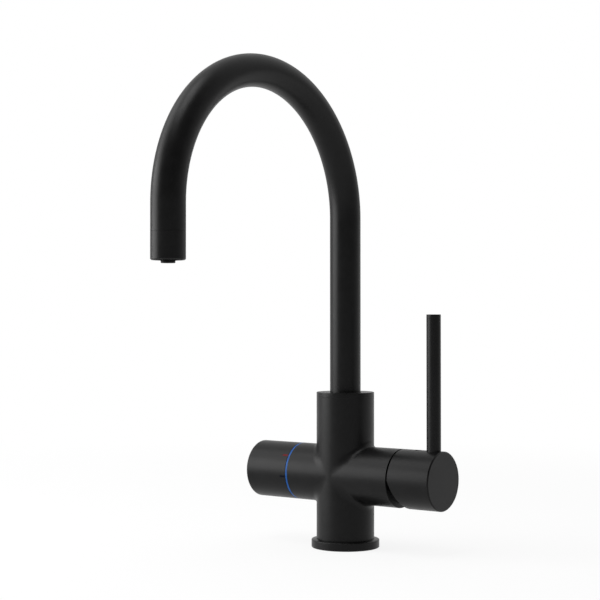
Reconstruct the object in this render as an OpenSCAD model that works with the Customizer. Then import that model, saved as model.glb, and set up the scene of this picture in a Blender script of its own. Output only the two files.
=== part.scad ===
// Three-way drinking water faucet for a kitchen sink, in millimetres.
// The column stands on Z with its foot at z = 0. The mixer arm points to +X, the
// filtered-water arm to -X, and the spout reaches towards -Y.

/* [Body] */
// Height of the column, up to the joint with its top collar
column_h = 122; // [118:0.5:150]
// Diameter of the column
column_d = 46.9; // [46.8:0.1:52]
// Diameter of both arms, of the mixer handle and of the filter knob
arm_d = 46.7; // [44:0.1:46.7]
// Height of the arms' axis above the worktop
arm_z = 59; // [54:0.5:62]
// Distance from the column's axis to the open end of the mixer arm
mixer_arm_len = 55; // [52:0.5:65]
// Distance from the column's axis to the open end of the filter arm
filter_arm_len = 42.5; // [40:0.5:55]
// Radius of the fillet where an arm meets the column
cross_fillet = 5; // [3:0.5:8]
// Height of the ring that closes the column's top
collar_h = 3.9; // [3:0.1:8]
// Chamfer on the collar's top edge
collar_edge = 0.4; // [0.2:0.1:1]

/* [Base] */
// Diameter of the base ring
base_d = 55.2; // [53:0.1:62]
// Height of the base ring
base_h = 6.4; // [5.6:0.1:10]
// Height of the seat inside the base ring on which the column stands
base_seat_h = 4.9; // [3:0.1:5]
// Diameter of the column's foot inside the base ring
foot_spigot_d = 44; // [42:0.1:44.5]
// Radius of the base ring's top edge
base_edge = 0.9; // [0.4:0.1:1.2]
// Width of the flat seal under the base ring
gasket_w = 2.4; // [1.5:0.1:3]
// Thickness of the flat seal
gasket_t = 1.2; // [0.8:0.1:2]
// Diameter of the fixing stud holes
stud_d = 8; // [6:0.5:8]
// Distance between the two fixing stud holes
stud_pitch = 25; // [24:0.5:27]
// Depth of the fixing stud holes
stud_depth = 14; // [10:0.5:20]
// Diameter of the three hose threads
hose_d = 10; // [8:0.5:10]
// Depth of the hose threads
hose_depth = 11; // [8:0.5:16]
// Distance from the column's axis to each hose thread
hose_pitch_r = 12.4; // [12:0.1:13]
// Angle of the hot and cold hose threads either side of the mixer arm
hose_angle = 30; // [28:1:34]

/* [Spout] */
// Overall height of the faucet
overall_h = 385.6; // [360:0.5:420]
// Radius of the spout's bend at the middle of the tube
bend_r = 106.25; // [90:0.25:120]
// Outer diameter of the spout tube
tube_d = 25; // [24:0.1:25.2]
// Wall of the spout tube
tube_wall = 1.2; // [1:0.1:1.5]
// Length of the straight tube between the bend and the outlet sleeve
tip_straight = 20.55; // [15:0.05:60]
// Length of the outlet sleeve that shows
sleeve_h = 20.1; // [18:0.1:30]
// Wall of the outlet sleeve
sleeve_wall = 1.65; // [1.4:0.05:2]
// Length of the sleeve's neck inside the tube
sleeve_neck_h = 10; // [6:0.5:14]
// Furthest that the spout swivels to each side, in degrees
swivel_limit = 75; // [45:5:90]

/* [Spout swivel] */
// Diameter of the swivel foot under the tube
swivel_d = 31.84; // [30.5:0.02:32]
// Depth of the socket in the column, from the column's top
socket_depth = 32; // [31:0.5:36]
// Depth of the wider threaded mouth of the socket
mouth_depth = 10; // [8:0.5:11]
// Diameter of the threaded mouth
mouth_d = 40; // [39:0.1:41]
// Thickness of each glide ring
glide_t = 0.95; // [0.8:0.05:1.5]
// Height of the flange that keeps the swivel foot down
swivel_flange_h = 2; // [1.5:0.1:2.5]
// Diameter of the foot's waterway
foot_bore_d = 18; // [15:0.5:20]
// Depth of the tube inside the swivel foot
tube_insert = 15; // [13:0.5:16]
// Thickness of the O-rings on the swivel foot
o_ring_t = 2; // [1.8:0.1:2.2]
// Diameter of the set screw that stops the swivel
stop_screw_d = 4; // [3:0.5:4]
// Height of the groove that the stop screw runs in
stop_groove_h = 4.6; // [4.5:0.1:5]

/* [Filtered water] */
// Outer diameter of the inner water tube
inner_tube_d = 8; // [7.6:0.1:9]
// Wall of the inner water tube
inner_tube_wall = 1; // [0.8:0.1:1.2]
// Outer diameter of the riser that the inner tube turns on
riser_d = 8.8; // [8:0.1:9.5]
// Bore of the riser, the socket and the outlet nozzle
riser_bore_d = 4; // [3:0.5:4]
// Length of the riser above the socket's floor
riser_h = 18; // [14:0.5:20]
// Diameter of the outlet nozzle
nozzle_d = 9.9; // [9:0.1:11]
// How far the nozzle stands out below the outlet
nozzle_out = 2.6; // [1.5:0.1:5]

/* [Outlet] */
// Height of the aerator insert
aerator_h = 8.6; // [7.5:0.1:12]
// How far the aerator insert sits inside the outlet
aerator_recess = 1.2; // [0.4:0.1:2]
// Number of water channels in the aerator insert
aerator_holes = 18; // [8:1:20]
// Number of teeth on the grip ring round the nozzle
grip_teeth = 24; // [12:1:32]
// Thickness of the aerator screen
screen_t = 0.6; // [0.4:0.1:1]
// Thickness of the aerator's washer
washer_t = 1.8; // [1.5:0.1:2.5]

/* [Mixer cartridge] */
// Diameter of the cartridge
cartridge_d = 35; // [34:0.1:35.5]
// Depth of the cartridge's seat, from the open end of the mixer arm
cartridge_depth = 35; // [34.5:0.1:36]
// Thickness of the cartridge's base plate
cart_base_t = 4; // [3.5:0.1:4.3]
// Thickness of each ceramic disc in the cartridge
mixer_disc_t = 3.5; // [3:0.1:3.7]
// Diameter of the moving ceramic disc
moving_disc_d = 22; // [18:0.5:23]
// Diameter of the cartridge's inner space
cart_bore_d = 29; // [28.6:0.1:30]
// Depth of the tilt pivot, from the open end of the mixer arm
pivot_depth = 9; // [8.6:0.1:9.5]
// Distance from the tilt pivot to the stem's ball end
stem_tail = 10; // [9.8:0.1:10.3]
// Diameter of the stem's ball end
stem_ball_d = 5; // [4.4:0.1:5.2]
// Width of the narrow blade between the pivot and the ball end
stem_blade_w = 3.2; // [2.4:0.1:3.3]
// Width of the square cartridge stem
stem_w = 8; // [7:0.1:8]
// Diameter of the pivot pin
pivot_pin_d = 3; // [2.5:0.1:3.5]
// Diameter of the rotor's neck
rotor_neck_d = 22.4; // [21:0.1:23]
// Diameter of the cartridge nut's thread
cart_nut_d = 39; // [38:0.1:40]
// Length of the cartridge nut
cart_nut_h = 8; // [7:0.1:8.2]
// Outer radius of the dome that covers the cartridge
dome_r = 16; // [15.5:0.1:16.2]
// Wall of the dome
dome_wall = 1; // [0.8:0.1:1.5]
// Diameter of the dome's opening for the stem
dome_mouth_d = 22.6; // [21:0.1:23]
// Furthest tilt of the lever, in degrees
tilt_limit = 20; // [15:1:21]

/* [Mixer handle] */
// Gap between the mixer arm and its handle
handle_gap = 0.9; // [0.7:0.1:1.5]
// Length of the handle
handle_len = 37.75; // [36:0.25:45]
// Slant of the cut that lets the handle tilt, in degrees
handle_slant = 21.3; // [21:0.1:25]
// Diameter of the hollow inside the handle
handle_bore_d = 40.6; // [40:0.1:42]
// Depth of the hollow inside the handle
handle_bore_depth = 8.6; // [8.4:0.1:9.5]
// Length of the boss inside the hollow
handle_boss_h = 3.9; // [2:0.1:4]
// Diameter of the boss
handle_boss_d = 18; // [16:0.1:18.5]
// Chamfer on the handle's end
handle_edge = 0.6; // [0.3:0.1:1.5]
// Distance from the handle's end to the lever rod's axis
lever_inset = 8.95; // [8:0.05:11]
// Diameter of the lever rod
lever_d = 11.3; // [10:0.1:12]
// Height of the lever's top above the arm's axis
lever_reach = 129.8; // [90:1:160]
// Height of the cap on the lever
lever_cap_h = 3.3; // [2:0.1:6]
// Chamfer on the lever's cap
lever_edge = 0.35; // [0.2:0.05:1]
// Diameter of the lever's threaded end
lever_thread_d = 8; // [6:0.5:8]
// Distance from the handle's end to the grub screw's axis
grub_inset = 23.05; // [22:0.05:24]
// Diameter of the grub screws in the handle and the knob
grub_d = 5; // [4:0.5:5]
// Length of the grub screws
grub_h = 11; // [8:0.5:12]
// Diameter of the plug over the handle's grub screw
plug_d = 6; // [5.6:0.1:7]
// Depth of the plug's hole
plug_h = 5; // [3:0.5:6]

/* [Filter valve] */
// Depth of the valve's seat, from the open end of the filter arm
valve_depth = 24.5; // [24:0.1:26]
// Outer diameter of the valve housing's nose
valve_nose_d = 18; // [17.5:0.1:19]
// Diameter of the valve housing's thread
valve_thread_d = 21; // [20.5:0.1:22]
// Width across the flats of the valve housing's hexagon
valve_hex = 23; // [22.5:0.5:24]
// Height of the valve housing's hexagon
valve_hex_h = 4; // [3:0.5:5]
// Diameter of the ceramic discs in the valve
valve_disc_d = 15.2; // [14.5:0.1:15.4]
// Thickness of each ceramic disc in the valve
valve_disc_t = 2.95; // [2.5:0.05:3]
// Thickness of the valve's gasket
valve_gasket_t = 1; // [0.8:0.1:1.2]
// Diameter of the valve's spindle
spindle_d = 9; // [8:0.1:9.5]
// How far the spindle stands out of the filter arm
spindle_out = 17.5; // [16:0.5:19]

/* [Filter knob] */
// Width of the coloured indicator ring
indicator_w = 1.6; // [1:0.1:3]
// Gap between the indicator ring and the knob
knob_gap = 0.3; // [0.2:0.05:0.6]
// Length of the filter knob
knob_len = 41.1; // [38:0.1:50]
// Radius of the knob's outer edge
knob_edge = 1.2; // [0.5:0.1:2]
// Diameter of the hollow at the knob's inner end
knob_bore_d = 40.6; // [38:0.1:42]
// Depth of the hollow at the knob's inner end
knob_bore_depth = 7.6; // [6:0.1:9]
// Diameter of the adapter inside the knob
adapter_d = 20; // [18:0.5:22]
// Length of the adapter
adapter_h = 18; // [16:0.5:20]
// Diameter of the adapter's screw
adapter_screw_d = 4; // [3:0.5:4]
// Length of each mark on the knob
mark_len = 5.2; // [3:0.1:8]
// Width of each mark on the knob
mark_w = 1.5; // [0.8:0.1:2.5]
// Depth of each mark's inlay
mark_t = 0.6; // [0.4:0.1:1]
// Angle of the red mark above the knob's front line
red_mark_angle = 37; // [20:1:60]
// Angle of the dark mark above the knob's front line
dark_mark_angle = -7.4; // [-30:0.2:10]

/* [Fits] */
// Gap all round between parts that don't move on each other
seat_gap = 0.05; // [0.03:0.01:0.08]
// Gap all round between parts that turn on each other
running_gap = 0.08; // [0.05:0.01:0.09]
// Gap between parts that pass each other
moving_gap = 0.3; // [0.25:0.05:0.4]

/* [Hidden] */

$fn = 96;
over = 1; // how far a cutter runs past the face it opens
long = 60; // longer than the faucet is thick

// Heights along the column
socket_z = column_h - socket_depth;
mouth_z = column_h - mouth_depth;
swivel_flange_z = mouth_z + glide_t + seat_gap;
swivel_top_z = swivel_flange_z + swivel_flange_h;
upper_glide_z = swivel_top_z + seat_gap;
collar_spigot_z = upper_glide_z + glide_t;
swivel_rise = 2; // room under the swivel foot
swivel_bottom_z = socket_z + swivel_rise;
tube_bottom_z = swivel_top_z - tube_insert;
stop_drop = 3; // how far the stop screw's axis is below the threaded mouth
stop_z = mouth_z - stop_drop;
stop_sink = 1.2; // how far the stop screw sits below the column's face
stop_key_depth = 2; // depth of the hexagon socket in the stop screw
stop_floor_r = tube_d / 2 + 1.2; // floor of the stop screw's groove
stop_slack = 0.6; // how much further than its limit the groove lets the spout turn, in degrees
o_ring_groove = 1.4; // width of an O-ring's groove, as a share of the ring's thickness
lower_o_ring_z = swivel_bottom_z + 1.75 * o_ring_t;
upper_o_ring_z = stop_z - stop_groove_h / 2 - o_ring_t;
arc_z = overall_h - bend_r - tube_d / 2;

// Places along the mixer arm, all measured along X
seat_x = mixer_arm_len - cartridge_depth;
fixed_disc_x = seat_x + cart_base_t;
moving_disc_x = fixed_disc_x + mixer_disc_t + seat_gap;
carrier_x = moving_disc_x + mixer_disc_t;
carrier_t = 5.4; // thickness of the carrier behind the moving disc
carrier_gap = 0.5; // gap between the carrier and the rotor
rotor_x = carrier_x + carrier_t + carrier_gap;
rotor_shoulder_inset = 12.1; // shoulder that keeps the rotor in, from the arm's open end
rotor_shoulder_x = mixer_arm_len - rotor_shoulder_inset;
rotor_slot_h = 17; // height of the rotor's slot for the stem
nut_inset = 2; // how far the nut sits inside the arm's open end
nut_relief = 0.4; // free thread behind the nut
nut_key_w = 3; // width of the nut's six key slots
nut_key_t = 2.5; // how far they reach in from the thread
nut_key_depth = 2; // how deep they are along the arm
nut_x = mixer_arm_len - nut_inset - cart_nut_h;
cover_x = nut_x + cart_nut_h;
cover_rim_gap = 0.2; // gap between the cover's rim and the nut's thread
rotor_end_inset = 6; // the rotor's outer end, from the arm's open end
rotor_end_x = mixer_arm_len - rotor_end_inset;
pin_end_inset = 1.5; // how far each end of the pivot pin is inside the rotor's neck
pivot_x = mixer_arm_len - pivot_depth;
handle_x = mixer_arm_len + handle_gap;
handle_end_x = handle_x + handle_len;
lever_x = handle_end_x - lever_inset;
grub_x = handle_end_x - grub_inset;
stem_end_gap = 1; // metal between the stem's end and the lever's hole
stem_end_x = lever_x - lever_d / 2 - stem_end_gap;
stem_hole_gap = 0.5; // room past the stem's end
stem_start = 5; // the square stem begins this far behind its pivot
carrier_floor_t = 1.2; // floor of the carrier's pocket for the stem's ball
mix_pocket = 1.6; // depth of the mixing pocket in the moving disc
mix_pocket_rim = 4; // rim of the moving disc round that pocket
seal_t = 1.6; // depth of the grooves for the seals under the cartridge
seal_w = 1.5; // width of those seals
disc_travel = stem_tail * tilt_limit * PI / 180;

// Places along the filter arm, measured away from the column's axis
valve_seat_u = filter_arm_len - valve_depth;
valve_fixed_u = valve_seat_u + valve_gasket_t;
valve_moving_u = valve_fixed_u + valve_disc_t + seat_gap;
spindle_flange_u = valve_moving_u + valve_disc_t;
valve_thread_len = 12.5; // length of the valve's thread and of what it screws into
valve_thread_u = filter_arm_len - valve_thread_len;
valve_thread_relief = 0.5; // free thread behind the valve's
valve_room_d = valve_thread_d + 4; // diameter of the water space round the valve's nose
valve_window_w = 6; // width of the windows in the valve's nose
valve_window_l = 4.5; // their length
valve_window_back = 2; // how far they start behind the spindle's flange
disc_port_d = 3.4; // holes in the valve's ceramic discs
disc_port_r = 3.6; // their distance from the axis
spindle_flange_t = 3; // thickness of the spindle's flange
spindle_groove_u = filter_arm_len - 6;
spindle_thread_h = 9; // depth of the thread in the spindle's end
spindle_end_u = filter_arm_len + spindle_out;
indicator_end_u = filter_arm_len + indicator_w;
knob_u = indicator_end_u + knob_gap;
adapter_stand = 2; // how far the adapter stands into the knob's hollow
adapter_u = knob_u + knob_bore_depth - adapter_stand;
adapter_end_gap = 0.5; // room past the adapter's end
adapter_web_u = spindle_end_u + seat_gap;
adapter_web_t = 2; // wall inside the adapter that its screw clamps
adapter_screw_u = adapter_web_u + adapter_web_t;
adapter_screw_h = 10; // length of the adapter's screw below its head
adapter_head_d = 7.6; // diameter of that head
adapter_head_h = 2.5; // height of that head
adapter_key_d = 3.4; // hexagon socket in that head
adapter_room_d = 9; // hole that the head goes into
knob_grub_u = adapter_u + adapter_h / 2;
mark_inset = 0.4; // distance of the marks from the knob's inner edge
mark_gap = 0.02; // gap round the marks
ring_hex_gap = 1; // room round the valve's hexagon, across its corners

// Lever, plug and grub screws, heights above the arm's axis
lever_seat_z = arm_d / 2 - 8.4; // where the rod stops inside the handle
lever_thread_h = 7;
lever_thread_z = lever_seat_z - lever_thread_h;
lever_sink_h = 0.9; // depth of the countersink round the lever
lever_sink_w = 0.9; // its width at the handle's face
cap_pin_h = 5; // length of the pin that holds the lever's cap
cap_pin_gap = 1; // room under that pin
plug_sink = 0.25; // how far the plug's face is below the handle's
grub_key_depth = 3; // depth of a grub screw's hexagon socket

// Waterways inside the body
port_d = 7; // diameter of the waterways to and from the cartridge
port_rise = 2; // how far a riser reaches past the waterway that it meets
inlet_side = 7.5; // sideways place of the hot and cold openings in the cartridge seat
inlet_drop = 5; // how far below the arm's axis they are
outlet_rise = 8; // how far above the arm's axis the mixed-water opening is
riser_way_d = 5; // diameter of the filtered water's way
riser_thread_h = 8; // length of the riser's thread
riser_thread_d = riser_d + 1.2;
mixed_way_x = 11; // distance of the mixed-water riser from the column's axis
filter_way_rise = 8.5; // height of the valve's outlet above the arm's axis
small_ring_t = 1.5; // thickness of the O-rings on the riser and the spindle
riser_ring_drop = 4; // height of the riser's end above its O-ring
socket_lift = 3; // gap under the inner tube's socket
socket_wall = 1.8; // wall of that socket
socket_neck_h = 10; // length of its neck inside the inner tube

// Outlet
outlet_z = arc_z - tip_straight - sleeve_h;
sleeve_bore_d = tube_d - 2 * sleeve_wall;
sleeve_ledge = 2; // width of the ledge that the washer lies under
aerator_d = sleeve_bore_d - 2 * seat_gap;
aerator_z = outlet_z + aerator_recess;
screen_z = aerator_z + aerator_h;
washer_z = screen_z + screen_t + seat_gap;
sleeve_step_z = washer_z + washer_t;
sleeve_top_z = outlet_z + sleeve_h;
sleeve_neck_d = tube_d - 2 * tube_wall - 2 * seat_gap;
nozzle_flange_t = 2; // thickness of the nozzle's flange
nozzle_flange_w = 1.5; // how far the flange stands out
nozzle_flange_room = 0.4; // room over the flange
nozzle_flange_z = screen_z - nozzle_flange_t - nozzle_flange_room;
nozzle_neck_h = 8; // length of the nozzle's neck inside the inner tube
nozzle_ring_t = 1.15; // thickness of the nozzle's O-ring
nozzle_ring_groove = 1.2; // depth of its groove
nozzle_ring_groove_w = 1.6; // width of its groove
channel_d = 1.5; // diameter of the aerator's channels
channel_off = 0.9; // how far the channels lie outside the middle of the insert's wall
tooth_d = 0.9; // width of the grooves between the grip teeth
tooth_depth = 0.8;
screen_hole_d = 0.9; // diameter of the screen's holes
screen_row_n = 18; // holes in each of its two rows
screen_row_first = 2.4; // distance of the first row from the nozzle's neck
screen_row_step = 1.9; // distance between the rows
nozzle_neck_d = inner_tube_d - 2 * inner_tube_wall - 2 * seat_gap;
inner_tube_low_z = sleeve_step_z + 1;
nozzle_groove_z = aerator_z + 3.4;

// Plain shapes
module rod_z(z, h, d) translate([0, 0, z]) cylinder(h = h, d = d);

module ring_z(z, h, d_out, d_in) difference() {
    rod_z(z, h, d_out);
    rod_z(z - over, h + 2 * over, d_in);
}

module rod_x(x, h, d) translate([x, 0, arm_z]) rotate([0, 90, 0]) cylinder(h = h, d = d);

module ring_x(x, h, d_out, d_in) difference() {
    rod_x(x, h, d_out);
    rod_x(x - over, h + 2 * over, d_in);
}

// A rod along X at a place across the arm
module rod_x_at(x, h, d, y, rise) translate([0, y, rise]) rod_x(x, h, d);

// An O-ring with its middle at height z
module o_ring_z(z, d_mid, t) translate([0, 0, z]) rotate_extrude() translate([d_mid / 2, 0])
    circle(d = t, $fn = 32);

// Turns the children over to the filter arm, so that they are drawn away from the column
module on_filter_arm() mirror([1, 0, 0]) children();

// A rod along X whose far edge has a chamfer
module edged_rod_x(x, h, d, edge) {
    rod_x(x, h - edge, d);
    translate([x + h - edge, 0, arm_z]) rotate([0, 90, 0])
        cylinder(h = edge, d1 = d, d2 = d - 2 * edge);
}

// A rod on the arm's axis whose far edge is round
module round_rod_x(x, h, d, edge) translate([x, 0, arm_z]) rotate([0, 90, 0]) rotate_extrude()
    intersection() {
        square([d / 2, h]);
        union() {
            square([d / 2, h - edge]);
            square([d / 2 - edge, h]);
            translate([d / 2 - edge, h - edge]) circle(r = edge, $fn = 32);
        }
    }

// Fillets where the arms meet the column: a ball rolls along each crossing line
fillet_sink = 0.06; // how far the ball sinks into both cylinders, so that the faces cross
fillet_root = 2; // how deep the web reaches into the solid
fillet_turn = 84; // the web ends where both cylinders are nearly level
fillet_steps = 28;
fillet_arc = 7;

function ball_place(turn) = let (
    arm_off = arm_d / 2 + cross_fillet - fillet_sink,
    column_off = column_d / 2 + cross_fillet - fillet_sink,
    y = arm_off * sin(turn)
) [sqrt(column_off * column_off - y * y), y, arm_off * cos(turn)];

function fillet_ring(turn) = let (
    ball = ball_place(turn),
    to_column = -[ball.x, ball.y, 0] / norm([ball.x, ball.y]),
    to_arm = -[0, ball.y, ball.z] / norm([ball.y, ball.z]),
    spread = acos(to_column * to_arm),
    column_share = 1 - (cross_fillet + fillet_root) / (column_d / 2 + cross_fillet),
    arm_share = 1 - (cross_fillet + fillet_root) / (arm_d / 2 + cross_fillet)
) concat(
    [for (i = [0 : fillet_arc]) let (part = spread * i / fillet_arc)
        ball + cross_fillet * (to_column * sin(spread - part) + to_arm * sin(part)) / sin(spread)],
    [[ball.x * column_share, ball.y * arm_share, ball.z * arm_share]]
);

module fillet_web() {
    ring_n = fillet_arc + 2;
    rings = [for (i = [0 : fillet_steps]) fillet_ring(-fillet_turn + 2 * fillet_turn * i / fillet_steps)];
    points = [for (ring = rings) each ring];
    sides = [for (i = [0 : fillet_steps - 1], k = [0 : ring_n - 1]) let (
            a = i * ring_n + k,
            b = i * ring_n + (k + 1) % ring_n
        ) each [[a, a + ring_n, b], [b, a + ring_n, b + ring_n]]];
    first = [for (k = [0 : ring_n - 1]) k];
    last = [for (k = [ring_n - 1 : -1 : 0]) fillet_steps * ring_n + k];
    polyhedron(points = points, faces = concat(sides, [first, last]));
}

module cross_fillets() for (side = [0, 1], half = [0, 1])
    translate([0, 0, arm_z]) mirror([side, 0, 0]) mirror([0, 0, half]) fillet_web();

// Body: one casting with the column and both arms
module body() color("#2b2b2c") difference() {
    union() {
        rod_z(0, base_seat_h + over, foot_spigot_d);
        rod_z(base_seat_h, column_h - base_seat_h, column_d);
        rod_x(-filter_arm_len, filter_arm_len + mixer_arm_len, arm_d);
        cross_fillets();
    }
    spout_socket_cut();
    base_holes_cut();
    mixer_arm_cut();
    filter_arm_cut();
}

module spout_socket_cut() {
    rod_z(socket_z, socket_depth + over, swivel_d + 2 * running_gap);
    rod_z(mouth_z, mouth_depth + over, mouth_d);
    rod_z(socket_z - riser_thread_h, riser_thread_h + over, riser_thread_d);
    translate([0, column_d / 2 + over, stop_z]) rotate([90, 0, 0])
        cylinder(h = column_d / 2 + over, d = stop_screw_d + 2 * seat_gap);
}

module base_holes_cut() {
    for (side = [-1, 1]) translate([0, side * stud_pitch / 2, -over])
        cylinder(h = stud_depth + over, d = stud_d);
    for (turn = [hose_angle, -hose_angle, 180]) rotate([0, 0, turn])
        translate([hose_pitch_r, 0, -over]) {
            cylinder(h = hose_depth + over, d = hose_d);
            cylinder(h = over + arm_z + port_rise - (turn == 180 ? 0 : inlet_drop), d = port_d);
        }
}

module mixer_arm_cut() {
    rod_x(seat_x, cartridge_depth + over, cartridge_d + 2 * seat_gap);
    rod_x(nut_x - nut_relief, mixer_arm_len - nut_x + nut_relief + over, cart_nut_d + 2 * seat_gap);
    for (side = [-1, 1]) rod_x_at(hose_pitch_r * cos(hose_angle) - port_rise, seat_x, port_d - 1,
        side * inlet_side, -inlet_drop);
    rod_x_at(mixed_way_x - port_rise, seat_x, port_d, 0, outlet_rise);
    translate([mixed_way_x, 0, arm_z + outlet_rise]) cylinder(h = socket_z - arm_z, d = port_d);
}

module filter_arm_cut() on_filter_arm() {
    rod_x(valve_seat_u, valve_thread_u - valve_seat_u, valve_room_d);
    rod_x(valve_seat_u, valve_depth + over, valve_thread_d + 2 * seat_gap);
    rod_x(hose_pitch_r, valve_seat_u, port_d - 1);
    rod_x_at(-riser_way_d / 4, valve_seat_u + 2 * port_rise, riser_way_d, 0, filter_way_rise);
    rod_z(arm_z + filter_way_rise, socket_z - arm_z, riser_way_d);
}

// Base
module base_ring() color("#29292a") difference() {
    union() {
        rod_z(0, base_h - base_edge, base_d);
        rod_z(0, base_h, base_d - 2 * base_edge);
        translate([0, 0, base_h - base_edge]) rotate_extrude()
            translate([base_d / 2 - base_edge, 0]) circle(r = base_edge, $fn = 32);
    }
    rod_z(-over, base_h + 2 * over, foot_spigot_d + 2 * seat_gap);
    rod_z(base_seat_h, base_h, column_d + 2 * seat_gap);
    gasket_groove(0);
}

// The groove under the base ring, or with an inset the seal in it
module gasket_groove(inset) {
    groove_mid = (foot_spigot_d + base_d) / 2;
    difference() {
        rod_z(inset > 0 ? 0 : -over, gasket_t + (inset > 0 ? -inset : over), groove_mid + gasket_w - 2 * inset);
        rod_z(-2 * over, gasket_t + 4 * over, groove_mid - gasket_w + 2 * inset);
    }
}

module base_gasket() color("#151515") gasket_groove(seat_gap);

// Spout swivel
module top_collar() color("#2b2b2c") difference() {
    union() {
        rod_z(collar_spigot_z, column_h - collar_spigot_z + over, mouth_d - 2 * seat_gap);
        rod_z(column_h, collar_h - collar_edge, column_d);
        rod_z(column_h, collar_h, column_d - 2 * collar_edge);
        translate([0, 0, column_h + collar_h - collar_edge])
            cylinder(h = collar_edge, d1 = column_d, d2 = column_d - 2 * collar_edge);
    }
    rod_z(collar_spigot_z - over, long, tube_d + 2 * running_gap);
}

module upper_glide_ring() color("ivory")
    ring_z(upper_glide_z, glide_t, mouth_d - 1, tube_d + 1);

module lower_glide_ring() color("ivory")
    ring_z(mouth_z, glide_t, mouth_d - 2 * seat_gap, swivel_d + 4 * running_gap);

module spout_stop_screw() color("#8d8f92") difference() {
    translate([0, column_d / 2 - stop_sink, stop_z]) rotate([90, 0, 0])
        cylinder(h = column_d / 2 - stop_sink - stop_floor_r - moving_gap, d = stop_screw_d);
    translate([0, column_d / 2, stop_z]) rotate([90, 0, 0])
        cylinder(h = stop_sink + stop_key_depth, d = stop_screw_d / 2, $fn = 6);
}

module spout_foot() color("#c9a551") difference() {
    union() {
        rod_z(swivel_bottom_z, swivel_top_z - swivel_bottom_z, swivel_d);
        rod_z(swivel_flange_z, swivel_flange_h, mouth_d - 1);
    }
    rod_z(tube_bottom_z, tube_insert + over, tube_d + 2 * seat_gap);
    rod_z(swivel_bottom_z - over, long, foot_bore_d);
    for (z = [lower_o_ring_z, upper_o_ring_z]) ring_z(z - o_ring_t * o_ring_groove / 2,
        o_ring_t * o_ring_groove, swivel_d + 2 * over, swivel_d - 2 * o_ring_t - 2 * seat_gap);
    stop_groove();
}

module stop_groove() {
    half_turn = swivel_limit + asin(stop_screw_d / 2 / (stop_floor_r + moving_gap)) + stop_slack;
    translate([0, 0, stop_z - stop_groove_h / 2]) rotate([0, 0, 90 - half_turn])
        rotate_extrude(angle = 2 * half_turn)
            translate([stop_floor_r, 0]) square([long, stop_groove_h]);
}

module spout_o_rings() color("#151515") for (z = [lower_o_ring_z, upper_o_ring_z])
    o_ring_z(z, swivel_d - o_ring_t, o_ring_t - 2 * seat_gap);

// Turns the children along the spout's bend, from the column's axis over to the outlet
module along_bend(d) translate([0, -bend_r, arc_z]) rotate([90, 0, -90])
    rotate_extrude(angle = 180) translate([bend_r, 0]) circle(d = d);

module swan_neck(d, foot_z, outlet_end_z) {
    rod_z(foot_z, arc_z - foot_z, d);
    along_bend(d);
    translate([0, -2 * bend_r, 0]) rod_z(outlet_end_z, arc_z - outlet_end_z, d);
}

module spout_tube() color("#2b2b2c") difference() {
    swan_neck(tube_d, tube_bottom_z, sleeve_top_z);
    swan_neck(tube_d - 2 * tube_wall, tube_bottom_z - over, sleeve_top_z - over);
}

// Filtered-water path
module filter_riser() color("#c9a551") difference() {
    union() {
        rod_z(socket_z - riser_thread_h + seat_gap, riser_thread_h, riser_thread_d - 2 * seat_gap);
        rod_z(socket_z, riser_h, riser_d);
    }
    rod_z(socket_z - riser_thread_h - over, long, riser_bore_d);
    small_ring_groove(socket_z + riser_h - riser_ring_drop, riser_d);
}

// The groove and the O-ring on a small rod of diameter d, with their middle at height z
module small_ring_groove(z, d) ring_z(z - small_ring_t * o_ring_groove / 2,
    small_ring_t * o_ring_groove, d + over, d - 2 * small_ring_t - 4 * seat_gap);

module small_ring(z, d) o_ring_z(z, d - small_ring_t - 2 * seat_gap, small_ring_t);

module riser_o_ring() color("#151515") small_ring(socket_z + riser_h - riser_ring_drop, riser_d);

module filter_tube_socket() color("ivory") difference() {
    union() {
        rod_z(socket_z + socket_lift, riser_h + port_rise - socket_lift, riser_d + 2 * socket_wall);
        rod_z(socket_z + riser_h, socket_neck_h, nozzle_neck_d);
    }
    rod_z(socket_z, riser_h + moving_gap, riser_d + 2 * running_gap);
    rod_z(socket_z, long, riser_bore_d);
}

module filter_water_tube() color("#e8eef2") difference() {
    swan_neck(inner_tube_d, socket_z + riser_h + port_rise + seat_gap, inner_tube_low_z);
    swan_neck(inner_tube_d - 2 * inner_tube_wall, socket_z + riser_h, inner_tube_low_z - over);
}

// Outlet, drawn on the column's axis and moved under the spout's end
module at_outlet() translate([0, -2 * bend_r, 0]) children();

module outlet_sleeve() color("#2b2b2c") at_outlet() difference() {
    union() {
        rod_z(outlet_z, sleeve_h, tube_d);
        rod_z(sleeve_top_z - over, sleeve_neck_h + over, sleeve_neck_d);
    }
    rod_z(outlet_z - over, sleeve_step_z - outlet_z + over, sleeve_bore_d);
    rod_z(outlet_z, long, sleeve_bore_d - 2 * sleeve_ledge);
}

module aerator_insert() color("#1c1c1d") at_outlet() difference() {
    rod_z(aerator_z, aerator_h, aerator_d);
    rod_z(aerator_z - over, aerator_h + 2 * over, nozzle_d + 2 * seat_gap);
    rod_z(nozzle_flange_z, aerator_h, nozzle_d + 2 * nozzle_flange_w + 2 * seat_gap);
    for (i = [0 : aerator_holes - 1]) rotate([0, 0, i * 360 / aerator_holes])
        translate([(aerator_d + nozzle_d) / 4 + channel_off, 0, aerator_z - over])
            cylinder(h = aerator_h + 2 * over, d = channel_d);
    for (i = [0 : grip_teeth - 1]) rotate([0, 0, i * 360 / grip_teeth])
        translate([nozzle_d / 2, 0, aerator_z - over])
            cylinder(h = over + tooth_depth, d = tooth_d, $fn = 16);
}

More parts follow.
